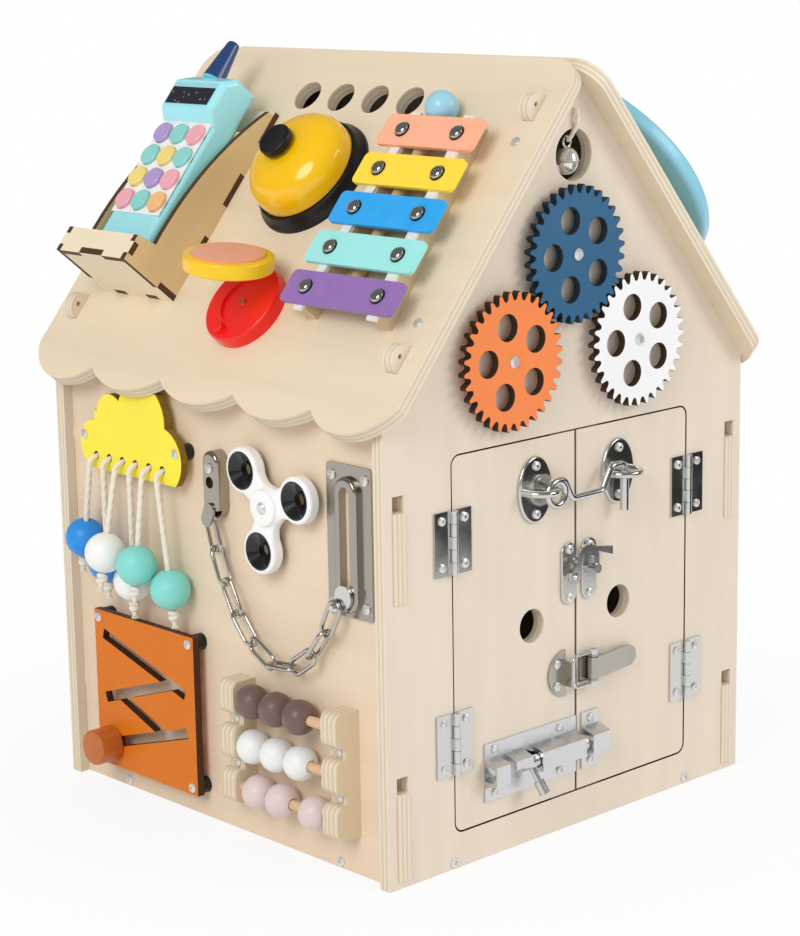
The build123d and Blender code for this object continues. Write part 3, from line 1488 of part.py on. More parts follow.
def bell_dome():
    """Domed gong: a short skirt under a quarter ellipse, bored for the button's stem."""
    radius, rise = CALL_DOME
    crown = EllipticalCenterArc((0, CALL_SKIRT), radius, rise - CALL_SKIRT, arc_size=90)
    profile = crown + Polyline((0, rise), (0, 0), (radius, 0), (radius, CALL_SKIRT))
    dome = revolve(Plane.XZ * make_face(profile), Axis.Z)
    dome -= Pos(0, 0, rise - CALL_STEM_DEPTH) * drum(CALL_STEM + CALL_CLEAR, CALL_STEM_DEPTH + LAP)
    return on_left_roof(*CALL_BELL, CALL_BASE[1]) * dome


def bell_button():
    radius, thick, corner = CALL_BUTTON
    seat = CALL_DOME[1] + CALL_TRAVEL + CALL_CLEAR
    stem = CALL_STEM_DEPTH - CALL_CLEAR
    button = Pos(0, 0, seat) * fillet(top_edges(drum(radius, thick)), corner)
    button += Pos(0, 0, seat - stem) * drum(CALL_STEM, stem + LAP)
    return on_left_roof(*CALL_BELL, CALL_BASE[1]) * button


# Xylophone

def rail_face(width, extra=0.0):
    """Rail outline to the front of the middle, spreading down the slope."""
    near, far = RAIL_SPREAD
    top = -RAIL_TOP
    foot = -RAIL_FOOT - extra
    half = width / 2
    return make_face(
        Polyline((near - half, top), (near + half, top), (far + half, foot), (far - half, foot), close=True)
    )


def pair_of_rails(width, height, out, extra=0.0):
    rail = extrude(rail_face(width, extra), height)
    place = on_left_roof(BARS_MIDDLE, 0, out)
    return [place * rail, place * mirror(rail, about=Plane.YZ)]


def xylophone_rails():
    return pair_of_rails(RAIL_WIDTH, RAIL_HEIGHT, 0)


def xylophone_felts():
    return pair_of_rails(FELT_WIDTH, FELT_THICK, RAIL_HEIGHT, FELT_PROUD)


def bar_spread(down):
    """Distance of a rail's middle line from the xylophone's middle."""
    near, far = RAIL_SPREAD
    return near + (far - near) * (down - RAIL_TOP) / (RAIL_FOOT - RAIL_TOP)


def xylophone_bars():
    bars = []
    out = RAIL_HEIGHT + FELT_THICK
    for step in range(BAR_COUNT):
        down = BAR_DOWN + step * BAR_PITCH
        face = RectangleRounded(BAR_FIRST + step * BAR_STEP, BAR_WIDTH, BAR_CORNER)
        bars.append(on_left_roof(BARS_MIDDLE, down, out) * extrude(face, BAR_THICK))
    return bars


def xylophone_nails():
    nails = []
    out = RAIL_HEIGHT + FELT_THICK + BAR_THICK
    for step in range(BAR_COUNT):
        down = BAR_DOWN + step * BAR_PITCH
        for side in (-1, 1):
            back = BARS_MIDDLE + side * bar_spread(down)
            nails.append(on_left_roof(back, down, out) * screw_head(NAIL_RADIUS, NAIL_HEIGHT))
    return nails


# Castanet

def castanet_place():
    """Frame on the castanet's foot whose local y points at its hinge."""
    return on_left_roof(*CASTANET) * Rot(0, 0, -CASTANET_LEAN)


def castanet_hinge(radius, starts, run):
    """Round pieces along the hinge line, which lies along local x over the base's upper edge."""
    hinge = []
    for start in starts:
        hinge.append(Pos(start, 0, 0) * Rot(0, 90, 0) * Cylinder(radius, run, align=BASE))
    return Pos(0, CASTANET_RADIUS, CASTANET_THICK + CASTANET_GAP) * Compound(children=hinge)


def knuckle_starts():
    """Starts of the base's one knuckle and the lid's two."""
    run = CASTANET_KNUCKLE[1]
    return (-run / 2,), (-1.5 * run - CASTANET_GAP, run / 2 + CASTANET_GAP)


def castanet_base():
    """Turned disc with a dished face, a rivet, hinge knuckle and pin, and the peg that the lid claps on."""
    disc = fillet(top_edges(drum(CASTANET_RADIUS, CASTANET_THICK)), CASTANET_ROUND)
    dish_radius, depth = CASTANET_DISH
    disc -= Pos(0, 0, CASTANET_THICK - depth) * drum(dish_radius, depth)
    disc += Pos(0, 0, CASTANET_THICK - depth) * drum(*CASTANET_RIVET)
    peg_radius, peg_height, peg_drop = CASTANET_PEG
    peg = fillet(top_edges(drum(peg_radius, peg_height + depth)), CASTANET_ROUND / 2)
    disc += Pos(0, -peg_drop, CASTANET_THICK - depth) * peg
    radius, run = CASTANET_KNUCKLE
    base_starts, lid_starts = knuckle_starts()
    disc -= castanet_hinge(radius + CASTANET_GAP, lid_starts, run)
    disc += castanet_hinge(radius, base_starts, run)
    disc += castanet_hinge(CASTANET_PIN, lid_starts[:1], lid_starts[1] + run - lid_starts[0])
    return castanet_place() * disc


def castanet_lid():
    """Disc with a raised pad and two knuckles, open on the pin at the base's upper edge."""
    disc = drum(CASTANET_RADIUS, CASTANET_THICK)
    rims = disc.edges().filter_by(GeomType.CIRCLE)
    disc = fillet(rims, LID_ROUND)
    disc += Pos(0, 0, CASTANET_THICK) * drum(*LID_PAD)
    hinge = Pos(0, CASTANET_RADIUS, CASTANET_THICK + CASTANET_GAP)
    lid = hinge * Rot(-CASTANET_OPEN, 0, 0) * Pos(0, -CASTANET_RADIUS, 0) * disc
    radius, run = CASTANET_KNUCKLE
    base_starts, lid_starts = knuckle_starts()
    lid -= castanet_hinge(radius + CASTANET_GAP, (base_starts[0] - CASTANET_GAP,), run + 2 * CASTANET_GAP)
    lid += castanet_hinge(radius, lid_starts, run)
    lid -= castanet_hinge(CASTANET_PIN + AXLE_CLEAR, lid_starts[:1], lid_starts[1] + run - lid_starts[0])
    return castanet_place() * lid


# Mallet and steering wheel

def mallet():
    """Round head above the first bar, its stick under the bars with the end down on the roof."""
    stick_radius, stick_length = MALLET_STICK
    lean = degrees(asin((MALLET_HEAD - stick_radius) / stick_length))
    stick = Rot(90 + lean, 0, 0) * drum(stick_radius, stick_length)
    return on_left_roof(*MALLET_AT, MALLET_HEAD + MALLET_SEAT) * (Sphere(MALLET_HEAD) + stick)


def steering_wheel():
    """Flat rim with spokes and a hub on a post."""
    face = Circle(WHEEL_RADIUS) - Circle(WHEEL_RADIUS - WHEEL_RIM)
    reach = WHEEL_RADIUS - WHEEL_RIM / 2
    for step in range(WHEEL_SPOKES):
        turn = Rot(0, 0, 90 + 360 / WHEEL_SPOKES * step)
        face += turn * Pos(reach / 2, 0) * Rectangle(reach, WHEEL_SPOKE)
    face += Circle(WHEEL_HUB)
    wheel = extrude(face, WHEEL_THICK)
    circles = wheel.edges().filter_by(GeomType.CIRCLE)
    wheel = fillet(circles.group_by(SortBy.RADIUS)[-1], WHEEL_ROUND)
    wheel -= drum(WHEEL_AXLE + AXLE_CLEAR, WHEEL_THICK)
    return on_roof(1, *WHEEL, WHEEL_OUT) * wheel


NODES = {
    "front_gable": front_gable(),
    "back_gable": back_gable(),
    "left_wall": side_wall(-1),
    "right_wall": side_wall(1),
    "floor_panel": floor_panel(),
    "left_roof": roof_panel(-1, ROOF_HOLE_COUNT),
    "right_roof": roof_panel(1),
    "house_screws": house_screws() + xylophone_nails(),
    "frame_hinge_leaves": frame_hinge_leaves(),
    "pivot_posts": pivot_posts(),
    "chain_plates": [anchor_plate(), slot_plate()],
    "door_chain": door_chain(),
    "cloud_plate": cloud_plate(),
    "plate_spacers": plate_spacers(),
    "maze_plate": maze_plate(),
    "abacus_frame": abacus_frame(),
    "phone_cradle": phone_cradle(),
    "bell_base": bell_base(),
    "bell_dome": bell_dome(),
    "xylophone_rails": xylophone_rails(),
    "xylophone_felts": xylophone_felts(),
    "xylophone_bars": xylophone_bars(),
    "castanet_base": castanet_base(),
    "left_door": door(-1),
    "left_door_leaves": door_leaves(-1, left_door_screws()),
    "hook_eye_plate": hook_plate_at(-1),
    "clasp_hook_base": clasp_hook_base(),
    "draw_latch_strike": draw_latch_strike(),
    "bolt_plate": bolt_plate(),
    "right_door": door(1),
    "right_door_leaves": door_leaves(1, right_door_screws()),
    "hook_staple_plate": hook_plate_at(1),
    "clasp_post_base": clasp_post_base(),
    "draw_latch_base": draw_latch_base(),
    "bolt_keeper": bolt_keeper(),
    "cabin_hook": cabin_hook(),
    "bolt_rod": bolt_rod(),
    "clasp_hook": clasp_hook(),
    "draw_latch_lever": draw_latch_lever(),
    "draw_latch_bail": draw_latch_bail(),
    "blue_gear": gear(0),
    "orange_gear": gear(1),
    "white_gear": gear(2),
    "spinner_body": spinner_body(),
    "spinner_rings": spinner_rings(),
    "chain_slider": chain_slider(),
    "maze_knob": maze_knob(),
    "upper_beads": bead_row(UPPER_BACK, ROD_Z[2]),
    "middle_beads": bead_row(UPPER_BACK, ROD_Z[1]),
    "lower_beads": bead_row(LOWER_BACK, ROD_Z[0]),
    "phone_body": phone_body(),
    "phone_keys": phone_keys(),
    "bell_button": bell_button(),
    "castanet_lid": castanet_lid(),
    "mallet": mallet(),
    "steering_wheel": steering_wheel(),
    "jingle_bell": jingle_bell(),
    "bell_cord": bell_cord(),
    "rain_cords": rain_cords(),
    "rain_beads": rain_beads(),
}

os.makedirs("parts", exist_ok=True)
for name, shape in NODES.items():
    pieces = shape if isinstance(shape, list) else [shape]
    solids = [solid for piece in pieces for solid in as_list(piece)]
    export_step(Compound(label=name, children=solids), "parts/" + name + ".step")
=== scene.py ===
import bmesh
import bpy
import numpy as np
from mathutils import Matrix


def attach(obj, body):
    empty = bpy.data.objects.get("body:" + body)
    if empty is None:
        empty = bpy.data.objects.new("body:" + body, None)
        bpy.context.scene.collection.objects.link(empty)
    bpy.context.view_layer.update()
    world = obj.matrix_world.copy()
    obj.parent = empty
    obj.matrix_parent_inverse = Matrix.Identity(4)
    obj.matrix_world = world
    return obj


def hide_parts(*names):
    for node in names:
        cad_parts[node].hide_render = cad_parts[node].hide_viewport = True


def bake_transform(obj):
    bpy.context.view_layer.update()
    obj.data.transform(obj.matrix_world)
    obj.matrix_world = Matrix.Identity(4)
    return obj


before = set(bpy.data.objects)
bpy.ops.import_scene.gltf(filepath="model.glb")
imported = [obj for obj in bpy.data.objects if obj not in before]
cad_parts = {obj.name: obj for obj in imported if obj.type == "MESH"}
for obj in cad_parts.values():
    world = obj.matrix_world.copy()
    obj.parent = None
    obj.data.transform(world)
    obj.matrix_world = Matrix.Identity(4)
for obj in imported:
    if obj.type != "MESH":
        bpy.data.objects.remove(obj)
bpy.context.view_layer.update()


# Camera off the front left corner of the house, a little above its middle, with a long lens.
# The front gable is seen to the right and the busy side wall and roof to the left.
def unit(vectors):
    """Vectors of length one."""
    return vectors / np.linalg.norm(vectors, axis=-1, keepdims=True)


def stood(across, upward, backward, place):
    """Transform with these axes and this origin."""
    return Matrix(np.vstack([np.column_stack([across, upward, backward, place]), (0, 0, 0, 1)]).tolist())


eye = (-1.0159, -1.08638, 0.52048)
yaw, pitch, roll = np.radians([-43.12, 12.36, -0.95])
behind = np.array([np.sin(yaw) * np.cos(pitch), -np.cos(yaw) * np.cos(pitch), np.sin(pitch)])
level = unit(np.cross(-behind, [0, 0, 1]))
rise = np.cross(level, -behind)
corner_lens = bpy.data.cameras.new("corner_view")
corner_lens.lens = 94.48
corner_lens.sensor_width = 36
corner_view = bpy.data.objects.new("corner_view", corner_lens)
corner_view.matrix_world = stood(level * np.cos(roll) + rise * np.sin(roll),
                                 rise * np.cos(roll) - level * np.sin(roll), behind, eye)
bpy.context.scene.collection.objects.link(corner_view)
bpy.context.scene.camera = corner_view
bpy.context.scene.view_settings.view_transform = "Standard"


# White studio: a pale floor that keeps a faint shadow, a white surround, two large soft lamps and
# a dark card off to the right that the bright door fittings mirror.
def add(tree, kind, inputs=None, **settings):
    """Adds a shader node: plain values are set on its sockets and sockets are linked to them."""
    made = tree.nodes.new("ShaderNode" + kind)
    for key, value in settings.items():
        setattr(made, key, value)
    for key, value in (inputs or {}).items():
        if isinstance(value, bpy.types.NodeSocket):
            tree.links.new(value, made.inputs[key])
        else:
            made.inputs[key].default_value = value
    return made


def calc(operation, first, second=0.0, third=0.0):
    """One step of arithmetic, in the nodes of the first socket."""
    return add(first.id_data, "Math", {0: first, 1: second, 2: third}, operation=operation).outputs[0]


def vector(operation, first, second=(0.0, 0.0, 0.0)):
    """One step of vector arithmetic, of which a length or a dot product is a number."""
    made = add(first.id_data, "VectorMath", {0: first, 1: tuple(second)}, operation=operation)
    return made.outputs["Value" if operation in ("LENGTH", "DOT_PRODUCT") else "Vector"]


def along(spot, direction, start=(0.0, 0.0, 0.0)):
    """Distance of a point from start, measured along a direction."""
    return vector("DOT_PRODUCT", vector("SUBTRACT", spot, start), direction)


def ranged(value, low, high, first=0.0, last=1.0):
    """Value from low to high, drawn out to run from first to last."""
    return add(value.id_data, "MapRange", {"Value": value, "From Min": low, "From Max": high,
                                           "To Min": first, "To Max": last}).outputs[0]


def looked_at(tree):
    """One where a camera or glass ray looks, and one where a mirror ray looks."""
    path = add(tree, "LightPath")
    direct = calc("MAXIMUM", path.outputs["Is Camera Ray"], path.outputs["Is Transmission Ray"])
    return direct, path.outputs["Is Glossy Ray"]


studio = bpy.data.worlds.new("white_studio")
studio.use_nodes = True
bpy.context.scene.world = studio
tree = studio.node_tree
tree.nodes.clear()
direct, mirrored = looked_at(tree)
soft_fill = add(tree, "Background", {"Color": (1.0, 0.99, 0.97, 1.0), "Strength": 0.62})
dim_room = add(tree, "Background", {"Color": (1.0, 1.0, 1.0, 1.0), "Strength": 0.24})
white_surround = add(tree, "Background", {"Color": (1.0, 1.0, 1.0, 1.0), "Strength": 1.0})
surround = add(tree, "MixShader", {0: mirrored, 1: soft_fill.outputs[0], 2: dim_room.outputs[0]})
surround = add(tree, "MixShader", {0: direct, 1: surround.outputs[0], 2: white_surround.outputs[0]})
add(tree, "OutputWorld", {"Surface": surround.outputs[0]})


def soft_lamp(name, place, power):
    """Round lamp at a place, turned to the middle of the house."""
    lamp = bpy.data.lights.new(name, "AREA")
    lamp.shape = "DISK"
    lamp.size = 1.6
    lamp.energy = power
    away = unit(np.array(place) - (0, 0, 0.25))
    across = unit(np.cross([0, 0, 1], away))
    made = bpy.data.objects.new(name, lamp)
    made.matrix_world = stood(across, np.cross(away, across), away, place)
    bpy.context.scene.collection.objects.link(made)


soft_lamp("left_softbox", (-2.5, -0.8, 1.8), 38.0)
soft_lamp("front_softbox", (1.6, -2.6, 1.6), 33.0)


def flat_sheet(name, corners):
    """Four-cornered sheet that belongs to the studio."""
    sheet = bpy.data.meshes.new(name)
    sheet.from_pydata(corners, [], [(0, 1, 2, 3)])
    made = bpy.data.objects.new(name, sheet)
    bpy.context.scene.collection.objects.link(made)
    return made


floor_reach = 12.0
floor = flat_sheet("floor", [(-floor_reach, -floor_reach, 0), (floor_reach, -floor_reach, 0),
                             (floor_reach, floor_reach, 0), (-floor_reach, floor_reach, 0)])
floor_paper = bpy.data.materials.new("floor_paper")
floor_paper.use_nodes = True
tree = floor_paper.node_tree
tree.nodes.clear()
paper = add(tree, "BsdfDiffuse", {"Color": (0.86, 0.86, 0.86, 1.0)})
glow = add(tree, "Emission", {"Color": (1.0, 1.0, 1.0, 1.0), "Strength": 1.0})
far_off = vector("LENGTH", add(tree, "TexCoord").outputs["Object"])
fade = ranged(far_off, 0.2, 0.45, 0.86, 1.0)
white_share = calc("MULTIPLY", calc("MAXIMUM", *looked_at(tree)), fade)
floor_mix = add(tree, "MixShader", {0: white_share, 1: paper.outputs[0], 2: glow.outputs[0]})
add(tree, "OutputMaterial", {"Surface": floor_mix.outputs[0]})
floor.data.materials.append(floor_paper)

dark_card = bpy.data.materials.new("dark_card")
dark_card.use_nodes = True
dark_shader = dark_card.node_tree.nodes["Principled BSDF"]
dark_shader.inputs["Base Color"].default_value = (0.03, 0.03, 0.035, 1.0)
dark_shader.inputs["Roughness"].default_value = 0.9
card_near, card_far, card_foot, card_top = (0.10, -0.546), (0.39, -0.274), (0.06,), (0.30,)
card = flat_sheet("front_card", [card_near + card_foot, card_far + card_foot,
                                 card_far + card_top, card_near + card_top])
card.data.materials.append(dark_card)
card.visible_camera = False
card.visible_diffuse = False
card.visible_shadow = False


# Plywood panels: pale birch faces with long faint grain, and cut edges that show the glued plies.
# The gables, walls and floor are slotted together, the roof drops over the gables' tabs.
def linear(code):
    """Linear colour of an sRGB code: ((s + 0.055) / 1.055) ** 2.4, or s / 12.92 near black."""
    s = np.array([int(code[i:i + 2], 16) for i in (1, 3, 5)]) / 255
    return tuple(np.where(s > 0.04045, ((s + 0.055) / 1.055) ** 2.4, s / 12.92)) + (1.0,)


def tint(code, share):
    """Linear colour of a code, lightened or darkened by a share."""
    colour = linear(code)
    return tuple(min(1.0, part * share) for part in colour[:3]) + (1.0,)


def mixed(share, first, second):
    """Colour between two colours or sockets, by a share that is a socket."""
    return add(share.id_data, "Mix", {0: share, 6: first, 7: second}, data_type="RGBA").outputs[2]


def shaded(share, code, dark, light):
    """Colour between a darker and a lighter tint of one code."""
    return mixed(share, tint(code, dark), tint(code, light))


def noise(place, scale, detail):
    """Soft noise in the object's own space."""
    return add(place.id_data, "TexNoise", {"Vector": place, "Scale": scale, "Detail": detail}).outputs["Fac"]


def new_finish(name, rough, settings=None):
    """Material, its shader and the place on the object that its patterns read."""
    finish = bpy.data.materials.new(name)
    finish.use_nodes = True
    tree = finish.node_tree
    shader = tree.nodes["Principled BSDF"]
    for key, value in {"Roughness": rough, **(settings or {})}.items():
        shader.inputs[key].default_value = value
    return finish, shader, add(tree, "TexCoord").outputs["Object"]


def surfaced(shader, colour, height=None, depth=0.0, distance=0.0):
    """Colour of a shader, and bump from a height socket where one is given."""
    tree = shader.id_data
    tree.links.new(colour, shader.inputs["Base Color"])
    if height is not None:
        bump = add(tree, "Bump", {"Strength": depth, "Distance": distance, "Height": height})
        tree.links.new(bump.outputs[0], shader.inputs["Normal"])


def roughened(shader, rough):
    """Roughness of a shader from a socket."""
    shader.id_data.links.new(rough, shader.inputs["Roughness"])


def grain_of(place, lengthwise, facing, stretch, fine):
    """Noise drawn out along the grain: low frequency lengthwise, high across and through."""
    across = np.cross(facing, lengthwise)
    drawn = add(place.id_data, "CombineXYZ", {
        0: calc("MULTIPLY", along(place, lengthwise), stretch),
        1: calc("MULTIPLY", along(place, across), fine),
        2: calc("MULTIPLY", along(place, facing), fine),
    })
    return add(place.id_data, "TexNoise", {"Vector": drawn.outputs[0], "Scale": 1.0, "Detail": 4.0,
                                           "Roughness": 0.55}).outputs["Fac"]


def on_face(place, facing):
    """One on faces square to a direction, and nought on edges."""
    normal = place.node.outputs["Normal"]
    return calc("GREATER_THAN", calc("ABSOLUTE", along(normal, facing)), 0.8)


def plywood(name, face, facing, lengthwise, middle, ply=0.0016, edge=("#EBE0CD", "#DCCBAF"), gap_shade=None):
    """Birch ply: grain on faces square to facing, alternate ply bands on every other face. Edges in the
    doors' gap, given as (middle, reach of the paler part round it, half width, top, hole x, hole z, hole
    radius), are
    dark: part scorch and part painted shade of the narrow gap, apart from a hole either side."""
    finish, shader, place = new_finish(name, 0.55, {"Specular IOR Level": 0.3})
    broad = grain_of(place, lengthwise, facing, 5.0, 55.0)
    fleck = grain_of(place, lengthwise, facing, 60.0, 900.0)
    pores = ranged(fleck, 0.62, 0.8, 0.0, 0.16)
    board = mixed(pores, shaded(broad, face, 0.90, 1.06), tint(face, 0.62))
    depth = along(place, facing)
    wave = calc("SINE", calc("MULTIPLY_ADD", depth, np.pi / ply, -np.pi / ply * middle))
    plies = mixed(ranged(wave, -0.35, 0.35), linear(edge[0]), linear(edge[1]))
    plies = mixed(calc("MULTIPLY", fleck, 0.25), plies, tint(edge[1], 0.7))
    if gap_shade:
        seam, seam_reach, half, top, hole_x, hole_z, hole_radius = gap_shade
        # Painted shade: the cut edges in the gap round the doors darken, part scorch and part the gap's
        # shade, less by the middle seam and not in the two finger holes.
        across = calc("ABSOLUTE", along(place, (1, 0, 0), (seam, 0, 0)))
        height = along(place, (0, 0, 1))
        below = calc("LESS_THAN", height, top)
        inside = calc("MULTIPLY", calc("LESS_THAN", across, half), below)
        aside, above = calc("SUBTRACT", across, hole_x), calc("SUBTRACT", height, hole_z)
        from_hole = vector("LENGTH", add(place.id_data, "CombineXYZ", {0: aside, 1: above}).outputs[0])
        inside = calc("MULTIPLY", inside, calc("GREATER_THAN", from_hole, hole_radius))
        by_seam = calc("LESS_THAN", across, seam_reach)
        plies = mixed(inside, plies, mixed(by_seam, linear("#38271A"), linear("#8D7862")))
    surfaced(shader, mixed(on_face(place, facing), plies, board), fleck, 0.25, 0.0004)
    return finish


def dress(node, finish):
    """Gives a CAD node its finish."""
    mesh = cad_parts[node].data
    mesh.materials.clear()
    mesh.materials.append(finish)


PLY = 0.008
HALF_DEPTH = 0.148
WALL_FACE = 0.1433
ROOF_SLOPE = np.radians(50.25)
ROOF_TOP = 0.444 + PLY / np.cos(ROOF_SLOPE)
roof_out = np.array([-np.sin(ROOF_SLOPE), 0.0, np.cos(ROOF_SLOPE)])
roof_up = np.array([np.cos(ROOF_SLOPE), 0.0, np.sin(ROOF_SLOPE)])
right_out = roof_out * (-1, 1, 1)
# The door gap on the front birch, where its cut edges take painted shade: seam, paler reach, half width, top,
# finger hole x, z and radius.
door_gap_shade = (0.0012, 0.02, 0.102, 0.241, 0.037, 0.1297, 0.0104)
front_ply = plywood("front_birch", "#E6D8C7", (0, -1, 0), (0, 0, 1), HALF_DEPTH, gap_shade=door_gap_shade)
back_ply = plywood("back_birch", "#E4D5C0", (0, 1, 0), (0, 0, 1), HALF_DEPTH)
wall_ply = plywood("wall_birch", "#EBD6BC", (-1, 0, 0), (0, 1, 0), WALL_FACE)
right_ply = plywood("right_birch", "#E6D5BC", (1, 0, 0), (0, 1, 0), WALL_FACE)
floor_ply = plywood("floor_birch", "#E0CDB0", (0, 0, 1), (1, 0, 0), 0.0)
left_roof_ply = plywood("left_roof_birch", "#E9D8BC", roof_out, (0, 1, 0), roof_out[2] * ROOF_TOP)
right_roof_ply = plywood("right_roof_birch", "#E6D5BA", right_out, (0, 1, 0), right_out[2] * ROOF_TOP)
for node, finish in (
    ("front_gable", front_ply), ("left_door", front_ply), ("right_door", front_ply),
    ("back_gable", back_ply), ("left_wall", wall_ply), ("right_wall", right_ply),
    ("floor_panel", floor_ply), ("left_roof", left_roof_ply), ("right_roof", right_roof_ply),
):
    dress(node, finish)


# Butt hinges, cabin hook and swing clasp of bright nickel plate over pressed and drawn steel.
# The plate is smooth, with faint rolling lines and a few soft smudges.
def plated(name, colour, rough, lines=0.06, smudge=0.12, metal=1.0):
    """Bright plate: roughness drifts with a cloudy noise and fine lines run through it."""
    finish, shader, place = new_finish(name, rough, {"Metallic": metal})
    cloud = noise(place, 60.0, 3.0)
    line = noise(vector("MULTIPLY", place, (90.0, 90.0, 2400.0)), 1.0, 2.0)
    roughened(shader, ranged(cloud, 0.3, 0.7, rough, rough + smudge))
    surfaced(shader, shaded(cloud, colour, 0.9, 1.05), line, lines, 0.0002)
    return finish


nickel = plated("bright_nickel", "#D6D5D2", 0.13)
for node in ("frame_hinge_leaves", "left_door_leaves", "right_door_leaves", "hook_eye_plate",
             "hook_staple_plate", "cabin_hook", "clasp_hook_base", "clasp_post_base", "clasp_hook",
             "chain_slider"):
    dress(node, nickel)


# Draw latch and barrel bolt of folded and pressed sheet, zinc plated and duller than the nickel.
zinc = plated("bright_zinc", "#D9D9DA", 0.22, 0.12)
for node in ("bolt_plate", "bolt_keeper", "bolt_rod", "draw_latch_bail"):
    dress(node, zinc)
latch_steel = plated("latch_steel", "#B7B2A8", 0.2, 0.12)
for node in ("draw_latch_strike", "draw_latch_base", "draw_latch_lever"):
    dress(node, latch_steel)


# Three meshed gears cut from ply by laser: painted faces, scorched dark tooth flanks and holes.
def cut_and_painted(name, face, facing, edge):
    """Paint on faces square to facing with a faint grain under it, scorched wood elsewhere."""
    finish, shader, place = new_finish(name, 0.45, {"Specular IOR Level": 0.25})
    speck = noise(place, 260.0, 4.0)
    paint = shaded(noise(place, 22.0, 3.0), face, 0.93, 1.05)
    scorch = shaded(speck, edge, 0.55, 1.35)
    surfaced(shader, mixed(on_face(place, facing), scorch, paint), speck, 0.12, 0.0004)
    return finish


def meshed(curve):
    """Mesh and points of a curve, which is then removed."""
    holder = bpy.data.objects.new(curve.name, curve)
    bpy.context.scene.collection.objects.link(holder)
    mesh = bpy.data.meshes.new_from_object(holder)
    bpy.data.objects.remove(holder)
    bpy.data.curves.remove(curve)
    spots = np.zeros(len(mesh.vertices) * 3)
    mesh.vertices.foreach_get("co", spots)
    return mesh, spots.reshape(-1, 3)


def finished(name, mesh, finish, body, crease=None):
    """Piece of a mesh: welded, turned outwards, smooth up to a crease angle, and set on a body. A piece
    given no body is set on none."""
    shape = bmesh.new()
    shape.from_mesh(mesh)
    bmesh.ops.remove_doubles(shape, verts=shape.verts, dist=1e-6)
    bmesh.ops.recalc_face_normals(shape, faces=shape.faces)
    shape.to_mesh(mesh)
    shape.free()
    if crease:
        mesh.polygons.foreach_set("use_smooth", np.ones(len(mesh.polygons), bool))
        mesh.set_sharp_from_angle(angle=np.radians(crease))
    mesh.materials.clear()
    mesh.materials.append(finish)
    piece = bpy.data.objects.new(name, mesh)
    bpy.context.scene.collection.objects.link(piece)
    if body:
        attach(piece, body)
    return piece


def cut_board(name, loops, thick, axes, place, finish, body):
    """Sheet with holes: flat loops (u, v) filled, given a thickness with softened rims, set at
    place + u a + v b + w c, where w runs from nought to the thickness."""
    rim = 0.0003
    curve = bpy.data.curves.new(name, "CURVE")
    curve.dimensions = "2D"
    curve.fill_mode = "BOTH"
    curve.extrude = thick / 2 - rim
    curve.bevel_depth = rim
    curve.bevel_resolution = 0
    curve.offset = -rim
    for loop in loops:
        spline = curve.splines.new("POLY")
        spline.points.add(len(loop) - 1)
        spline.points.foreach_set("co", np.hstack([loop, np.tile((0, 1), (len(loop), 1))]).ravel())
        spline.use_cyclic_u = True
    mesh, flat = meshed(curve)
    flat = flat + (0, 0, thick / 2)
    mesh.vertices.foreach_set("co", (np.asarray(place) + flat @ np.asarray(axes, float)).ravel())
    return finished(name, mesh, finish, body, 30)


def ring_of(radius, count, middle=(0.0, 0.0), start=0.0):
    """Points evenly round a circle."""
    angle = np.radians(start) + np.linspace(0, 2 * np.pi, count, endpoint=False)
    return np.asarray(middle) + radius * np.stack([np.cos(angle), np.sin(angle)], axis=1)


GEAR_TEETH, GEAR_SPACING, GEAR_SPREAD = 32, 0.0753, np.radians(43.7)
GEAR_BACK, GEAR_PLY, GEAR_HOLE, HOLE_CIRCLE, AXLE_HOLE = 0.0035, 0.0048, 0.0075, 0.0203, 0.0022
gear_root, gear_tip = GEAR_SPACING / 2 - 0.00305, GEAR_SPACING / 2 + 0.00175
blue_place = np.array([-0.0052, 0.3411])
gear_looks = {"blue": ("#33648A", "#1B2A36", "blue_paint", 36.0, 0),
              "orange": ("#F58A4E", "#3B2A20", "coral_paint", 32.4, -1),
              "white": ("#F4F4F5", "#3B2A20", "white_paint", 36.2, 1)}
blue_turn, tooth_flat = 4.0, 1.4
for colour, (paint, burnt, paint_slot, hole_turn, hand) in gear_looks.items():
    away = np.array([hand * np.sin(GEAR_SPREAD), -np.cos(GEAR_SPREAD)])
    middle = blue_place + abs(hand) * GEAR_SPACING * away
    towards = np.degrees(np.arctan2(*(middle - blue_place)[::-1]))
    turned_by = blue_turn if hand == 0 else 2 * towards - blue_turn - 180 / GEAR_TEETH
    angle = np.linspace(0, 2 * np.pi, GEAR_TEETH * 20, endpoint=False)
    wave = np.tanh(tooth_flat * np.cos(GEAR_TEETH * (angle - np.radians(turned_by)))) / np.tanh(tooth_flat)
    reach = (gear_tip + gear_root) / 2 + (gear_tip - gear_root) / 2 * wave
    rim = reach[:, None] * np.stack([np.cos(angle), np.sin(angle)], axis=1)
    holes = [ring_of(GEAR_HOLE, 48, centre) for centre in ring_of(HOLE_CIRCLE, 5, start=hole_turn)]
    finish = cut_and_painted(colour + "_gear_paint", paint, (0, 1, 0), burnt)
    gear = cut_board(colour + "_toothed_gear", [rim, ring_of(AXLE_HOLE, 24)] + holes, GEAR_PLY,
                     [(1, 0, 0), (0, 0, 1), (0, -1, 0)], (middle[0], -HALF_DEPTH - GEAR_BACK, middle[1]),
                     finish, colour + "_gear")
    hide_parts(colour + "_gear")
dress("pivot_posts", plated("axle_steel", "#E4E5E6", 0.3, metal=0.55))


# Cloud, maze and their black spacers: thin painted boards screwed to the wall through turned spacers.
dress("cloud_plate", cut_and_painted("cloud_paint", "#FFEA48", (1, 0, 0), "#8A6A2A"))
dress("maze_plate", cut_and_painted("maze_paint", "#DC7614", (1, 0, 0), "#4A2A18"))


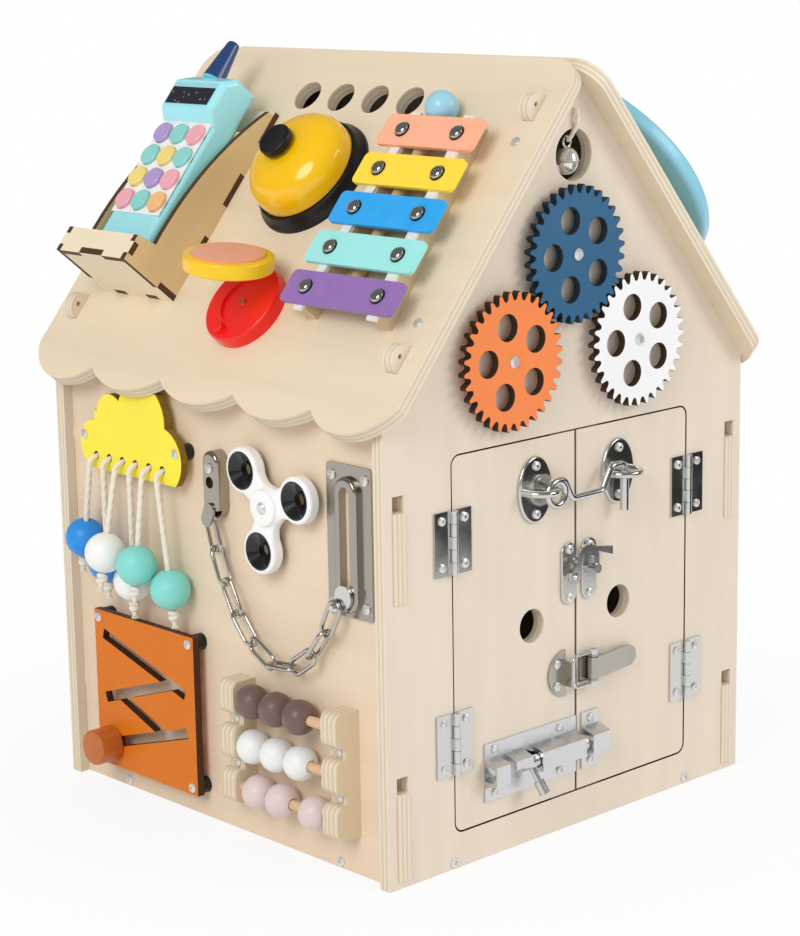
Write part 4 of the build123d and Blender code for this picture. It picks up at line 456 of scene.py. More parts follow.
def moulded(name, colour, rough, coat=0.0, mottle=0.05, grain=0.05):
    """Moulded plastic or lacquer: even colour with slight drift and a fine surface grain."""
    lacquer = {"Specular IOR Level": 0.35, "Coat Weight": coat, "Coat Roughness": 0.08}
    finish, shader, place = new_finish(name, rough, lacquer)
    drift = noise(place, 18.0, 3.0)
    hue = shaded(drift, colour, 1 - mottle, 1 + mottle)
    roughened(shader, ranged(drift, 0.0, 1.0, rough * 0.85, rough * 1.2))
    surfaced(shader, hue, noise(place, 500.0, 2.0), grain, 0.0002)
    return finish


black_plastic = moulded("black_plastic", "#151517", 0.35)
dress("plate_spacers", black_plastic)


# Spinner rings of black moulded plastic, dished and pressed into the spinner's lobes.
dress("spinner_rings", moulded("ring_black", "#101012", 0.22, 0.4))


# Door chain plates: a drawn anchor cup and a slotted plate with a raised rim, in bright steel.
dress("chain_plates", plated("chain_steel", "#ABA59C", 0.15, 0.1))


# Abacus of two scalloped brackets cut from thick ply, and three sanded rods.
def bare_wood(name, colour, lengthwise, facing):
    """Sanded wood: streaks along the grain, lighter and darker."""
    finish, shader, place = new_finish(name, 0.6, {"Specular IOR Level": 0.3})
    streak = grain_of(place, lengthwise, facing, 12.0, 220.0)
    fleck = grain_of(place, lengthwise, facing, 80.0, 880.0)
    tone = shaded(streak, colour, 0.82, 1.08)
    tone = mixed(calc("MULTIPLY", fleck, 0.25), tone, tint(colour, 0.6))
    surfaced(shader, tone, fleck, 0.25, 0.0003)
    return finish


dress("abacus_frame", plywood("abacus_birch", "#E4D2B4", (0, 1, 0), (0, 0, 1), -0.1115, 0.0018,
                              ("#EADDC6", "#DAC7A6")))
rod_wood = bare_wood("rod_beech", "#E6C09A", (0, 1, 0), (-1, 0, 0))


# Phone cradle of thin ply panels, laser cut and finger jointed: pale faces and scorched dark ends.
# Two cheeks stand on a base board, and a foot panel and a lip close the low end round the phone.
CRADLE_PLY = 0.004


def panel(name, outline, axes, place, finish):
    """Flat board: the outline in mm at place + u a + v b, and again a thickness further along c."""
    outline = np.asarray(outline, float) / 1000
    axes = np.asarray(axes, float)
    count = len(outline)
    first = np.asarray(place) + outline @ axes[:2]
    step = np.arange(count)
    ahead = np.roll(step, -1)
    sides = np.stack([step, ahead, ahead + count, step + count], axis=1)
    mesh = bpy.data.meshes.new(name)
    mesh.from_pydata(np.vstack([first, first + axes[2] * CRADLE_PLY]).tolist(), [],
                     [step.tolist(), (step + count).tolist()] + sides.tolist())
    piece = finished(name, mesh, finish, "house")
    edge = piece.modifiers.new("softened_edges", "BEVEL")
    edge.width = 0.0002
    edge.segments = 2
    return piece


def arc_through(first, middle, last):
    """Arc through three points, about the centre c with |first - c| = |middle - c| = |last - c|."""
    first, middle, last = np.array([first, middle, last], float)
    sides = np.array([middle - first, last - first])
    centre = np.linalg.solve(2 * sides, (sides ** 2).sum(axis=1)) + first
    begin, end = np.arctan2(*(np.array([first, last]) - centre).T[::-1])
    turn = (end - begin + np.pi) % (2 * np.pi) - np.pi
    angle = begin + turn * np.linspace(0, 1, 16)
    return centre + np.linalg.norm(first - centre) * np.stack([np.cos(angle), np.sin(angle)], axis=1)


def both_sides(half):
    """A half outline on the right, from the foot up, and its mirror image on the left."""
    half = np.array(half, float)
    return np.vstack([half, half[::-1] * (-1, 1)])


PHONE_BACK = 0.2418
cradle_top = np.array([0, PHONE_BACK - HALF_DEPTH, ROOF_TOP])
dark_ends = ("#6B4A2C", "#3B2614")
# Painted shade: the cheeks' birch is a darker, warmer copy of the cradle ply, for the shade that falls on the
# cheeks.
shaded_cheek_ply = plywood("cheek_birch_painted_shade", "#DFC493", (0, 1, 0), roof_up, 0.0938, 0.0008, dark_ends)
lip_ply = plywood("lip_birch", "#F2E2C4", roof_out, (0, 1, 0), 0.0, 0.0008, dark_ends)
foot_ply = plywood("foot_birch", "#EFDFC4", roof_up, (0, 1, 0), 0.0, 0.0008, dark_ends)
cheek = np.vstack([
    [(62, 8), (62, 4), (81.7, 4), (81.7, 0), (104.4, 0), (104.4, 4), (127, 4), (127, 0), (149.6, 0)],
    [(149.6, 4), (172.2, 4), (172.2, 0), (190.5, 0), (190.5, 15), (194.5, 15), (194.5, 45.5)],
    [(190, 45.5), (190, 41.5), (182, 41.5), (182, 45.5), (177.5, 45.5)],
    arc_through((174.7, 31), (104, 23), (62, 8))[:-1],
])
lip = both_sides([(11, -4.5), (11, -8.5), (29.7, -8.5), (29.7, -4), (33.7, -4), (33.7, 4), (29.7, 4),
                  (29.7, 8.5)])
foot = both_sides([(10, 0), (10, 4), (21, 4), (21, 0), (33.7, 0), (33.7, 15), (29.7, 15), (29.7, 41.5),
                   (11, 41.5), (11, 45.5)])
board = both_sides([
    (10, -190.5), (10, -194.5), (21, -194.5), (21, -190.5), (29.7, -190.5), (29.7, -172.2),
    (33.7, -172.2), (33.7, -149.6), (29.7, -149.6), (29.7, -127), (33.7, -127), (33.7, -104.4),
    (29.7, -104.4), (29.7, -81.7), (33.7, -81.7), (33.7, -59.1),
])
rest = both_sides([(29.7, -190.5), (29.7, -81.7)])
towards_front = np.array([0, -1.0, 0])
flat_axes = [towards_front, roof_up, roof_out]
cheek_axes = [-roof_up, roof_out, towards_front]
foot_axes = [towards_front, roof_out, -roof_up]
cradle = [
    panel("cradle_front_cheek", cheek, cheek_axes, cradle_top + towards_front * 0.0297, shaded_cheek_ply),
    panel("cradle_back_cheek", cheek, cheek_axes, cradle_top - towards_front * 0.0337, shaded_cheek_ply),
    panel("cradle_lip", lip, flat_axes, cradle_top - roof_up * 0.186 + roof_out * 0.0415, lip_ply),
    panel("cradle_foot", foot, foot_axes, cradle_top - roof_up * 0.1905, foot_ply),
    panel("cradle_board", board, flat_axes, cradle_top, lip_ply),
    panel("cradle_rest", rest, flat_axes, cradle_top + roof_out * 0.010, lip_ply),
]
for piece in cradle:
    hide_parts("phone_cradle")


# Toy phone: a moulded handset with a raised head, white key plate, dark screen and navy aerial.
KEY_DOWN = 0.1232
plate_height, plate_half_wide, plate_half_long = 0.03205, 0.02305, 0.03305
screen_height, screen_end, aerial_end = 0.04055, 0.0695, 0.05598
finish, shader, place = new_finish("phone_shell", 0.3, {"Coat Weight": 0.25})
height = along(place, roof_out, (0, 0, ROOF_TOP))
down = along(place, -roof_up, (0, 0, ROOF_TOP))
side = calc("ABSOLUTE", along(place, (0, 1, 0), cradle_top))
shell = shaded(noise(place, 30.0, 3.0), "#A4EAF3", 0.95, 1.04)
on_plate = calc("GREATER_THAN", height, plate_height)
on_plate = calc("MULTIPLY", on_plate, calc("LESS_THAN", side, plate_half_wide))
on_plate = calc("MULTIPLY", on_plate, calc("COMPARE", down, KEY_DOWN, plate_half_long))
shell = mixed(on_plate, shell, linear("#F6F6F4"))
stars = add(place.id_data, "TexVoronoi", {"Vector": place, "Scale": 260.0}).outputs["Distance"]
sparkle = mixed(calc("LESS_THAN", stars, 0.18), linear("#1A1622"), linear("#8F88A8"))
sparkle = mixed(calc("LESS_THAN", down, screen_end), sparkle, linear("#9FD4E6"))
shell = mixed(calc("GREATER_THAN", height, screen_height), shell, sparkle)
shell = mixed(calc("LESS_THAN", down, aerial_end), shell, linear("#1F3E73"))
surfaced(shader, shell)
dress("phone_body", finish)


# Xylophone rails of softwood with white felt strips, and five enamelled bars nailed through them.
BAR_TOP, BAR_STEP = 0.0603, 0.0268
bar_colours = ("#FCB28E", "#FFDC30", "#00A4F0", "#9CE7E4", "#9068B0")
dress("xylophone_rails", bare_wood("rail_pine", "#D9C29C", roof_up, roof_out))
finish, shader, place = new_finish("felt", 0.95, {"Sheen Weight": 0.4})
fibre = noise(place, 900.0, 5.0)
surfaced(shader, mixed(fibre, linear("#D8D4CC"), linear("#FBFAF7")), fibre, 0.6, 0.0006)
dress("xylophone_felts", finish)
finish, shader, place = new_finish("bar_enamel", 0.38, {"Specular IOR Level": 0.25})
down = along(place, -roof_up, (0, 0, ROOF_TOP))
share = calc("DIVIDE", calc("SUBTRACT", down, BAR_TOP), len(bar_colours) * BAR_STEP)
ladder = add(place.id_data, "ValToRGB", {"Fac": share})
ladder.color_ramp.interpolation = "CONSTANT"
while len(ladder.color_ramp.elements) < len(bar_colours):
    ladder.color_ramp.elements.new(0.5)
for step, code in enumerate(bar_colours):
    ladder.color_ramp.elements[step].position = step / len(bar_colours)
    ladder.color_ramp.elements[step].color = linear(code)
speck = noise(place, 120.0, 3.0)
enamel = mixed(calc("MULTIPLY", speck, 0.06), ladder.outputs[0], (1.0, 1.0, 1.0, 1.0))
surfaced(shader, enamel, speck, 0.05, 0.0003)
dress("xylophone_bars", finish)


# Castanet: a red lacquered disc on the roof and a yellow lid with a coral pad, hinged at the top.
dress("castanet_base", moulded("castanet_red", "#F01E16", 0.25, 0.25))
lean, opened = np.radians([11.0, 48.3])
lid_side = roof_up * np.cos(lean) + towards_front * np.sin(lean)
lid_out = lid_side * np.sin(opened) + roof_out * np.cos(opened)
lid_back = (-0.11335, -0.01402, 0.33477)
pad_height = 0.00905
finish, shader, place = new_finish("castanet_yellow", 0.28, {"Coat Weight": 0.15})
lid_height = along(place, lid_out, lid_back)
lacquer = shaded(noise(place, 25.0, 3.0), "#F4C60C", 0.94, 1.05)
lacquer = mixed(calc("GREATER_THAN", lid_height, pad_height), lacquer, linear("#F2A283"))
surfaced(shader, lacquer)
dress("castanet_lid", finish)


# Steering wheel of pale blue moulded plastic, turning on a post over the right roof.
dress("steering_wheel", moulded("wheel_blue", "#8CC9DE", 0.32, 0.2))


# Wood screws through the panels, plates and hinge leaves: small plated pan heads with a cross recess,
# each turned as the driver left it.
def skin(name, grids, finish, body, looped=False, crease=40.0):
    """Mesh over one or more grids of points: quads between neighbours, round each row, and from the last
    row to the first where looped."""
    grids = np.asarray(grids, float)
    grids = grids.reshape((-1,) + grids.shape[-3:])
    count, rows, columns = grids.shape[:3]
    index = np.arange(count * rows * columns).reshape(count, rows, columns)
    beside = np.roll(index, -1, axis=2)
    above = np.roll(index, -1, axis=1)
    quads = np.stack([index, beside, np.roll(above, -1, axis=2), above], axis=3)
    quads = quads[:, :rows if looped else rows - 1].reshape(-1, 4)
    mesh = bpy.data.meshes.new(name)
    mesh.from_pydata(grids.reshape(-1, 3).tolist(), [], quads.tolist())
    return finished(name, mesh, finish, body, crease)


def seat(axes, place):
    """Local axes and origin, as rows."""
    return np.vstack([np.asarray(axes, float), np.asarray(place, float)])


def on_front(x, z, out=0.0):
    """Seat on the front gable, so far out of its face."""
    return seat([(1, 0, 0), (0, 0, 1), (0, -1, 0)], (x, -HALF_DEPTH - out, z))


def on_back(x, z):
    """Seat on the back gable."""
    return seat([(-1, 0, 0), (0, 0, 1), (0, 1, 0)], (x, HALF_DEPTH, z))


def pair_on_front(x, z, apart, out):
    """Two seats on the front gable, one above the other."""
    return [on_front(x, z + step * apart, out) for step in (-1, 1)]


def on_wall(back, up, out=0.0, hand=-1):
    """Seat on the left wall, or on the right where hand is 1, measured back from the front."""
    return seat([(0, hand, 0), (0, 0, 1), (hand, 0, 0)], (hand * (WALL_FACE + out), back - HALF_DEPTH, up))


def on_roof(back, down, out=0.0, hand=-1):
    """Seat on the left roof, or on the right where hand is 1, measured down from the ridge."""
    outward = roof_out * (-hand, 1, 1)
    upward = roof_up * (-hand, 1, 1)
    place = np.array([0, back - HALF_DEPTH, ROOF_TOP]) - upward * down + outward * out
    return seat([(0, hand, 0), upward, outward], place)


def screw_heads(seats, radius, height, recess, seed):
    """Pan heads: z = h (1 - 0.45 (r / R) ** 2), with a cross of two bars pressed into the middle."""
    share = np.array([0.0, 0.1, 0.2, 0.3, 0.4, 0.5, 0.54, 0.75, 0.93, 1.0, 1.0])
    angle = np.linspace(0, 2 * np.pi, 40, endpoint=False)
    r = radius * share[:, None]
    x, y = r * np.cos(angle), r * np.sin(angle)
    z = np.tile(height * (1 - 0.45 * share[:, None] ** 2), (1, angle.size))
    bar = np.minimum(np.abs(x), np.abs(y)) < 0.15 * radius
    z -= np.where(bar & (share[:, None] < 0.52), recess, 0.0)
    z[-1] = 0.0
    turn = np.random.default_rng(seed).uniform(0, np.pi, len(seats))[:, None, None]
    local = np.stack([x * np.cos(turn) - y * np.sin(turn), x * np.sin(turn) + y * np.cos(turn),
                      np.broadcast_to(z, (len(seats),) + z.shape)], axis=3)
    seats = np.array(seats)
    return np.einsum("nrck,nkj->nrcj", local, seats[:, :3]) + seats[:, None, None, 3]


HINGE_LINE, LEAF_ACROSS, LEAF_APART, LEAF_OUT = 0.09905, 0.0086, 0.0132, 0.0012
hinge_heights = (0.0746, 0.1908)
house_seats, frame_seats, left_seats, right_seats = [], [], [], []
for hand in (-1, 1):
    for back in (PLY / 2, 2 * HALF_DEPTH - PLY / 2):
        house_seats += [on_roof(back, down, 0.0, hand) for down in (0.0662, 0.185)]
    house_seats += [on_front(hand * 0.1, PLY / 2), on_back(hand * 0.1, PLY / 2)]
    house_seats += [on_wall(back, PLY / 2, 0.0, hand) for back in (0.0475, 0.245)]
    for rise in hinge_heights:
        frame_seats += pair_on_front(hand * (HINGE_LINE + LEAF_ACROSS), rise, LEAF_APART, LEAF_OUT)
wall_screws = {"cloud": ((0.1738, 0.2624), (0.224,), 0.0105),
               "maze": ((0.1682, 0.2560), (0.02035, 0.10965), 0.0105),
               "abacus": ((0.0365, 0.1255), (0.0472, 0.07415), 0.010),
               "chain_anchor": ((0.1447,), (0.2196,), 0.009),
               "chain_slot": ((0.0200, 0.0466), (0.1578, 0.2298), 0.0016)}
for backs, heights, out in wall_screws.values():
    house_seats += [on_wall(back, height, out) for back in backs for height in heights]
hook_row, clasp_row, bolt_row = (0.2095, 0.014, 0.0022), (0.1552, 0.0144, 0.0016), (0.0508, 0.013, 0.0012)
latch_row = (0.096, 0.0067, 0.0014)
leaf_rows = [(rise, LEAF_APART, LEAF_OUT) for rise in hinge_heights]
left_rows = [(-0.0338, hook_row), (-0.0057, clasp_row), (-0.0165, latch_row), (-0.068, bolt_row),
             (-0.014, bolt_row)]
right_rows = [(0.0362, hook_row), (0.0115, clasp_row), (0.0125, bolt_row)]
for hand, seats, rows in ((-1, left_seats, left_rows), (1, right_seats, right_rows)):
    for x, row in [(hand * (HINGE_LINE - LEAF_ACROSS), row) for row in leaf_rows] + rows:
        seats.extend(pair_on_front(x, *row))
screw_plate = plated("screw_plate", "#E6E5E1", 0.3, metal=0.6)
screw_sets = {"panel": (house_seats, (0.0029, 0.0016, 0.0008), 3, "house"),
              "frame_leaf": (frame_seats, (0.0024, 0.0013, 0.0006), 9, "house"),
              "left_door": (left_seats, (0.0026, 0.0017, 0.0006), 5, "left_door"),
              "right_door": (right_seats, (0.0026, 0.0017, 0.0006), 7, "right_door")}
for where, (seats, head, seed, body) in screw_sets.items():
    piece = skin(where + "_screws", screw_heads(seats, *head, seed), screw_plate, body)
    if body == "house":
        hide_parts("house_screws")


# Xylophone nails: bright dome heads over black rubber washers, one at each end of a bar.
def at_seats(local, seats):
    """A grid of local points, carried to every seat."""
    seats = np.array(seats).reshape(-1, 4, 3)
    return np.einsum("rck,nkj->nrcj", local, seats[:, :3]) + seats[:, None, None, 3]


def turned(profile, seats, segments=56):
    """Surface of revolution: profile point (r, z) at angle a lies at r cos a, r sin a, z of each seat."""
    profile = np.asarray(profile, float)
    angle = np.linspace(0, 2 * np.pi, segments, endpoint=False)
    local = np.stack([profile[:, :1] * np.cos(angle), profile[:, :1] * np.sin(angle),
                      np.repeat(profile[:, 1:], segments, axis=1)], axis=2)
    return at_seats(local, seats)


def arc(centre, radius, start, end, steps):
    """Points of an arc, or of a quarter ellipse where radius is a pair."""
    angle = np.radians(np.linspace(start, end, steps))
    wide, tall = np.broadcast_to(radius, 2)
    return np.stack([centre[0] + wide * np.cos(angle), centre[1] + tall * np.sin(angle)], axis=1)


XYLOPHONE_BACK, BAR_OUT = 0.0542, 0.0164
nail_seats = []
for step in range(len(bar_colours)):
    down = BAR_TOP + (step + 0.5) * BAR_STEP
    spread = np.interp(down, (0.060, 0.192), (0.0209, 0.0302))
    nail_seats += [on_roof(XYLOPHONE_BACK + hand * spread, down, BAR_OUT) for hand in (-1, 1)]
washer = np.vstack([[(0.0, 0.0), (0.0049, 0.0)], arc((0.0044, 0.0004), 0.0005, 0, 90, 5), [(0.0, 0.0009)]])
nail_washers = skin("nail_washers", turned(washer, nail_seats, 32), black_plastic, "house")
dome_nail = np.vstack([[(0.0, 0.0008), (0.0043, 0.0008)], arc((0.0, 0.0009), (0.0043, 0.0024), 0, 90, 12)])
nail_chrome = plated("nail_chrome", "#B4B3B0", 0.05, 0.02, 0.05)
nail_heads = skin("nail_heads", turned(dome_nail, nail_seats, 32), nail_chrome, "house")
for piece in (nail_washers, nail_heads):
    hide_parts("house_screws")


# Spinner body of white moulded plastic: three lobes round the rings, waisted arms and a round cap,
# all with well rounded edges.
spinner_white = moulded("spinner_white", "#F6F6F6", 0.3, 0.2)
spinner_place = on_wall(0.0926, 0.2051, 0.0043)
lobe_profile = np.vstack([[(0.01105, 0.0004), (0.01105, 0.0077)], arc((0.01135, 0.0077), 0.0003, 180, 90, 4),
                          arc((0.0115, 0.0058), 0.0022, 90, 0, 10),
                          arc((0.0115, 0.0022), 0.0022, 0, -90, 10)])
hub_profile = np.vstack([[(0.00275, 0.0), (0.0095, 0.0)], arc((0.0095, 0.0020), 0.0020, -90, 0, 6),
                         [(0.0115, 0.0068)], arc((0.0107, 0.0072), 0.0008, 0, 90, 5),
                         arc((0.0095, 0.0088), 0.0010, 0, 90, 6), [(0.00275, 0.0098)]])
LOBE_REACH, LOBE_WALL, ARM_START = 0.027, 0.0123, 0.0052
ARM_WAIST, ARM_FLARE, ARM_MIDDLE, ARM_HALF = 0.0088, 0.0026, 0.004, 0.0039
arm_seats, lobe_seats = [], []
for turn in np.radians([137, 257, 377]):
    onward = spinner_place[0] * np.cos(turn) + spinner_place[1] * np.sin(turn)
    arm_seats.append(seat([onward, np.cross(spinner_place[2], onward), spinner_place[2]], spinner_place[3]))
    lobe_seats.append(seat(spinner_place[:3], spinner_place[3] + LOBE_REACH * onward))
around = np.linspace(0, 2 * np.pi, 40, endpoint=False)
share = np.linspace(0, 1, 15)[:, None]
half = ARM_WAIST + ARM_FLARE * (2 * share - 1) ** 2
arm_y = half * np.sign(np.cos(around)) * np.abs(np.cos(around)) ** 0.5
arm_z = ARM_MIDDLE + ARM_HALF * np.sign(np.sin(around)) * np.abs(np.sin(around)) ** 0.5 + 0 * share
arm_x = ARM_START + share * (LOBE_REACH - np.sqrt(LOBE_WALL ** 2 - arm_y ** 2) - ARM_START)
arm = np.stack([arm_x, arm_y, arm_z], axis=2)
caps = [np.tile(row.mean(axis=0), (around.size, 1))[None] for row in (arm[0], arm[-1])]
arm = np.concatenate([caps[0], arm, caps[1]])
arm_grids = at_seats(arm, arm_seats)
spinner_pieces = [
    skin("spinner_lobes", turned(lobe_profile, lobe_seats, 72), spinner_white, "spinner", True),
    skin("spinner_hub", turned(hub_profile, spinner_place, 64), spinner_white, "spinner", True),
    skin("spinner_arms", arm_grids, spinner_white, "spinner"),
]
for piece in spinner_pieces:
    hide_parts("spinner_body")


# Door chain of welded oblong links, each a quarter turn from the last, hanging between the anchor
# and the slider in the curve of a loose chain.
def carried(path, radius, reference, sides):
    """Section carried along a path: side = reference x tangent, lift = tangent x side, and a point lies at
    path + r cos a side + r sin a lift, where r is one number or one for each step and side."""
    tangent = unit(np.gradient(path, axis=-2))
    side = unit(np.cross(np.broadcast_to(reference, path.shape), tangent))
    lift = np.cross(tangent, side)
    angle = np.linspace(0, 2 * np.pi, sides, endpoint=False)
    ring = np.cos(angle)[:, None] * side[..., None, :] + np.sin(angle)[:, None] * lift[..., None, :]
    return path[..., None, :] + np.asarray(radius)[..., None] * ring


def wire_loop(path, radius, reference):
    """Wire bent round a path that ends where it starts."""
    return carried(np.vstack([path[-2:-1], path, path[1:2]]), radius, reference, 12)[1:-2]


chain_ends = np.array([(0.1475, 0.1905), (0.0372, 0.1582)])
chain_dip, chain_count, chain_out = 0.112, 9, (0.0074, 0.0092)
link_wire, link_half, link_slack = 0.0013, 0.0044, 0.00035
low_scale, high_scale = 0.001, 1.0
for step in range(60):
    scale = (low_scale + high_scale) / 2
    reach = scale * np.arccosh(1 + (chain_ends[:, 1] - chain_dip) / scale)
    if reach.sum() < chain_ends[0, 0] - chain_ends[1, 0]:
        low_scale = scale
    else:
        high_scale = scale
lowest = chain_ends[0, 0] - reach[0]
run = np.linspace(*(scale * np.sinh((chain_ends[:, 0] - lowest) / scale)), chain_count + 1)
back = lowest + scale * np.arcsinh(run / scale)
up = chain_dip + scale * (np.cosh((back - lowest) / scale) - 1)
joints = np.stack([-WALL_FACE - np.linspace(*chain_out, chain_count + 1), back - HALF_DEPTH, up], axis=1)
link_grids = []
for step, (first, last) in enumerate(zip(joints, joints[1:])):
    length = np.linalg.norm(last - first)
    onward = (last - first) / length
    normal = np.array([-1.0, 0, 0]) if step % 2 == 0 else np.cross([-1.0, 0, 0], onward)
    normal = unit(normal - onward * (normal @ onward))
    straight = length / 2 - link_half + link_wire + link_slack
    near_end = arc((straight, 0), link_half, -90, 90, 14)
    oval = np.vstack([near_end, arc((-straight, 0), link_half, 90, 270, 14), near_end[:1]])
    path = (first + last) / 2 + oval[:, :1] * onward + oval[:, 1:] * np.cross(normal, onward)
    link_grids.append(wire_loop(path, link_wire, normal))
chain_links = skin("chain_links", link_grids, plated("chain_nickel", "#C2BEB7", 0.1), None, True, 80)
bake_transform(chain_links)
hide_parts("door_chain")


# Maze knob turned from wood and stained, with a stem in the slot and a flange behind the board.
knob_profile = np.vstack([
    [(0.0, 0.0032), (0.0055, 0.0032), (0.0055, 0.0052), (0.0027, 0.0052), (0.0027, 0.0108), (0.0100, 0.0108)],
    arc((0.0100, 0.0118), 0.0010, -90, 0, 6),
    arc((0.0093, 0.0251), 0.0017, 0, 90, 8),
    [(0.0, 0.0268)],
])
KNOB_BACK, KNOB_HEIGHT = 0.2465, 0.0306
finish, shader, place = new_finish("knob_stain", 0.42)
middle = (0.0, KNOB_BACK - HALF_DEPTH, KNOB_HEIGHT)
oval = vector("MULTIPLY", vector("SUBTRACT", place, middle), (0.0, 1.0, 1.3))
growth = calc("SINE", calc("MULTIPLY", vector("LENGTH", oval), 4200.0))
streak = grain_of(place, (-1, 0, 0), (0, 1, 0), 20.0, 400.0)
stain = shaded(streak, "#C86C2A", 0.8, 1.12)
stain = mixed(ranged(growth, 0.2, 1.0, 0.0, 0.3), stain, tint("#C86C2A", 0.62))
surfaced(shader, stain, streak, 0.2, 0.0003)
maze_knob = skin("turned_knob", turned(knob_profile, on_wall(KNOB_BACK, KNOB_HEIGHT)), finish, "maze_knob")
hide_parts("maze_knob")


# Abacus beads of turned wood, dipped in satin paint, three to a rod.
def bead_profile(radius, bore):
    """Ball with a straight bore and softened bore edges, as one closed loop."""
    tip = np.degrees(np.arcsin((bore + 0.0006) / radius))
    outer = arc((0, 0), radius, -90 + tip, 90 - tip, 28)
    half = outer[-1, 1] - 0.0004
    return np.vstack([outer, [(bore, half), (bore, -half)]])


def on_rod(back, height):
    """Seat on a rod's axis, facing along it."""
    return seat([(1, 0, 0), (0, 0, -1), (0, 1, 0)], (-WALL_FACE - ROD_OUT, back - HALF_DEPTH, height))


ROD_OUT, ROD_START, BEAD_RADIUS, BEAD_BORE = 0.0116, 0.043, 0.0102, 0.0033
bead_rows = {"upper": (0.0877, (0.0676, 0.0881, 0.1086), "#765E58", "mauve_paint"),
             "middle": (0.0606, (0.0676, 0.0881, 0.1086), "#F0F1EF", "white_paint"),
             "lower": (0.0338, (0.0556, 0.0844, 0.1049), "#E2CFCC", "pink_paint")}
rod_profile = np.array([(0.0, 0.0001), (0.00306, 0.0001), (0.00306, 0.0759), (0.0, 0.0759)])
rod_seats = [on_rod(ROD_START, height) for height, backs, code, paint_slot in bead_rows.values()]
rods = skin("abacus_rods", turned(rod_profile, rod_seats, 36), rod_wood, "house")
for row, (height, backs, code, paint_slot) in bead_rows.items():
    grids = turned(bead_profile(BEAD_RADIUS, BEAD_BORE), [on_rod(back, height) for back in backs])
    paint = moulded(row + "_bead_paint", code, 0.38, 0.1)
    beads = skin(row + "_row_beads", grids, paint, row + "_beads", True)
    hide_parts(row + "_beads")


# Cloud strands: twisted cotton cords through the cloud's holes, each with a painted bead that sits on
# a knot, and a frayed tail below it.
cotton, shader, place = new_finish("cotton_cord", 0.9, {"Sheen Weight": 0.3})
fibre = noise(place, 1500.0, 4.0)
surfaced(shader, mixed(fibre, linear("#DED3BF"), linear("#FAF5EA")), fibre, 0.5, 0.0003)


def route_line(name, points):
    """Points read along a smooth spline whose control points are the route."""
    curve = bpy.data.curves.new(name, "CURVE")
    curve.dimensions = "3D"
    curve.resolution_u = 12
    spline = curve.splines.new("NURBS")
    spline.points.add(len(points) - 1)
    spline.points.foreach_set("co", np.hstack([points, np.ones((len(points), 1))]).ravel())
    spline.order_u = 3
    spline.use_endpoint_u = True
    mesh, line = meshed(curve)
    bpy.data.meshes.remove(mesh)
    return line


def run_along(line):
    """Distance of every point of a line from its start."""
    return np.concatenate([[0], np.cumsum(np.linalg.norm(np.diff(line, axis=0), axis=1))])


def even_steps(line, gap):
    """The same line at even distances along it, and those distances."""
    done = run_along(line)
    wanted = np.linspace(0, done[-1], max(8, int(done[-1] / gap)))
    return np.stack([np.interp(wanted, done, line[:, axis]) for axis in range(3)], axis=1), wanted


def twisted_cord(name, route, radius, reference, lay):
    """Three strands twisted together: r = R (1 + 0.1 cos 3 (a - 2 pi s / (3 lay))) / 1.1."""
    line, done = even_steps(route_line(name, np.asarray(route)), radius * 0.55)
    ends = np.clip(np.minimum(np.arange(len(line)), np.arange(len(line))[::-1]) / 1.5, 0.0, 1.0)[:, None]
    sides = 15
    angle = np.linspace(0, 2 * np.pi, sides, endpoint=False)
    wound = 3 * (angle - 2 * np.pi * done[:, None] / (3 * lay))
    grid = carried(line, ends * radius * (1 + 0.1 * np.cos(wound)) / 1.1, reference, sides)
    return skin(name, grid, cotton, None, crease=180), line


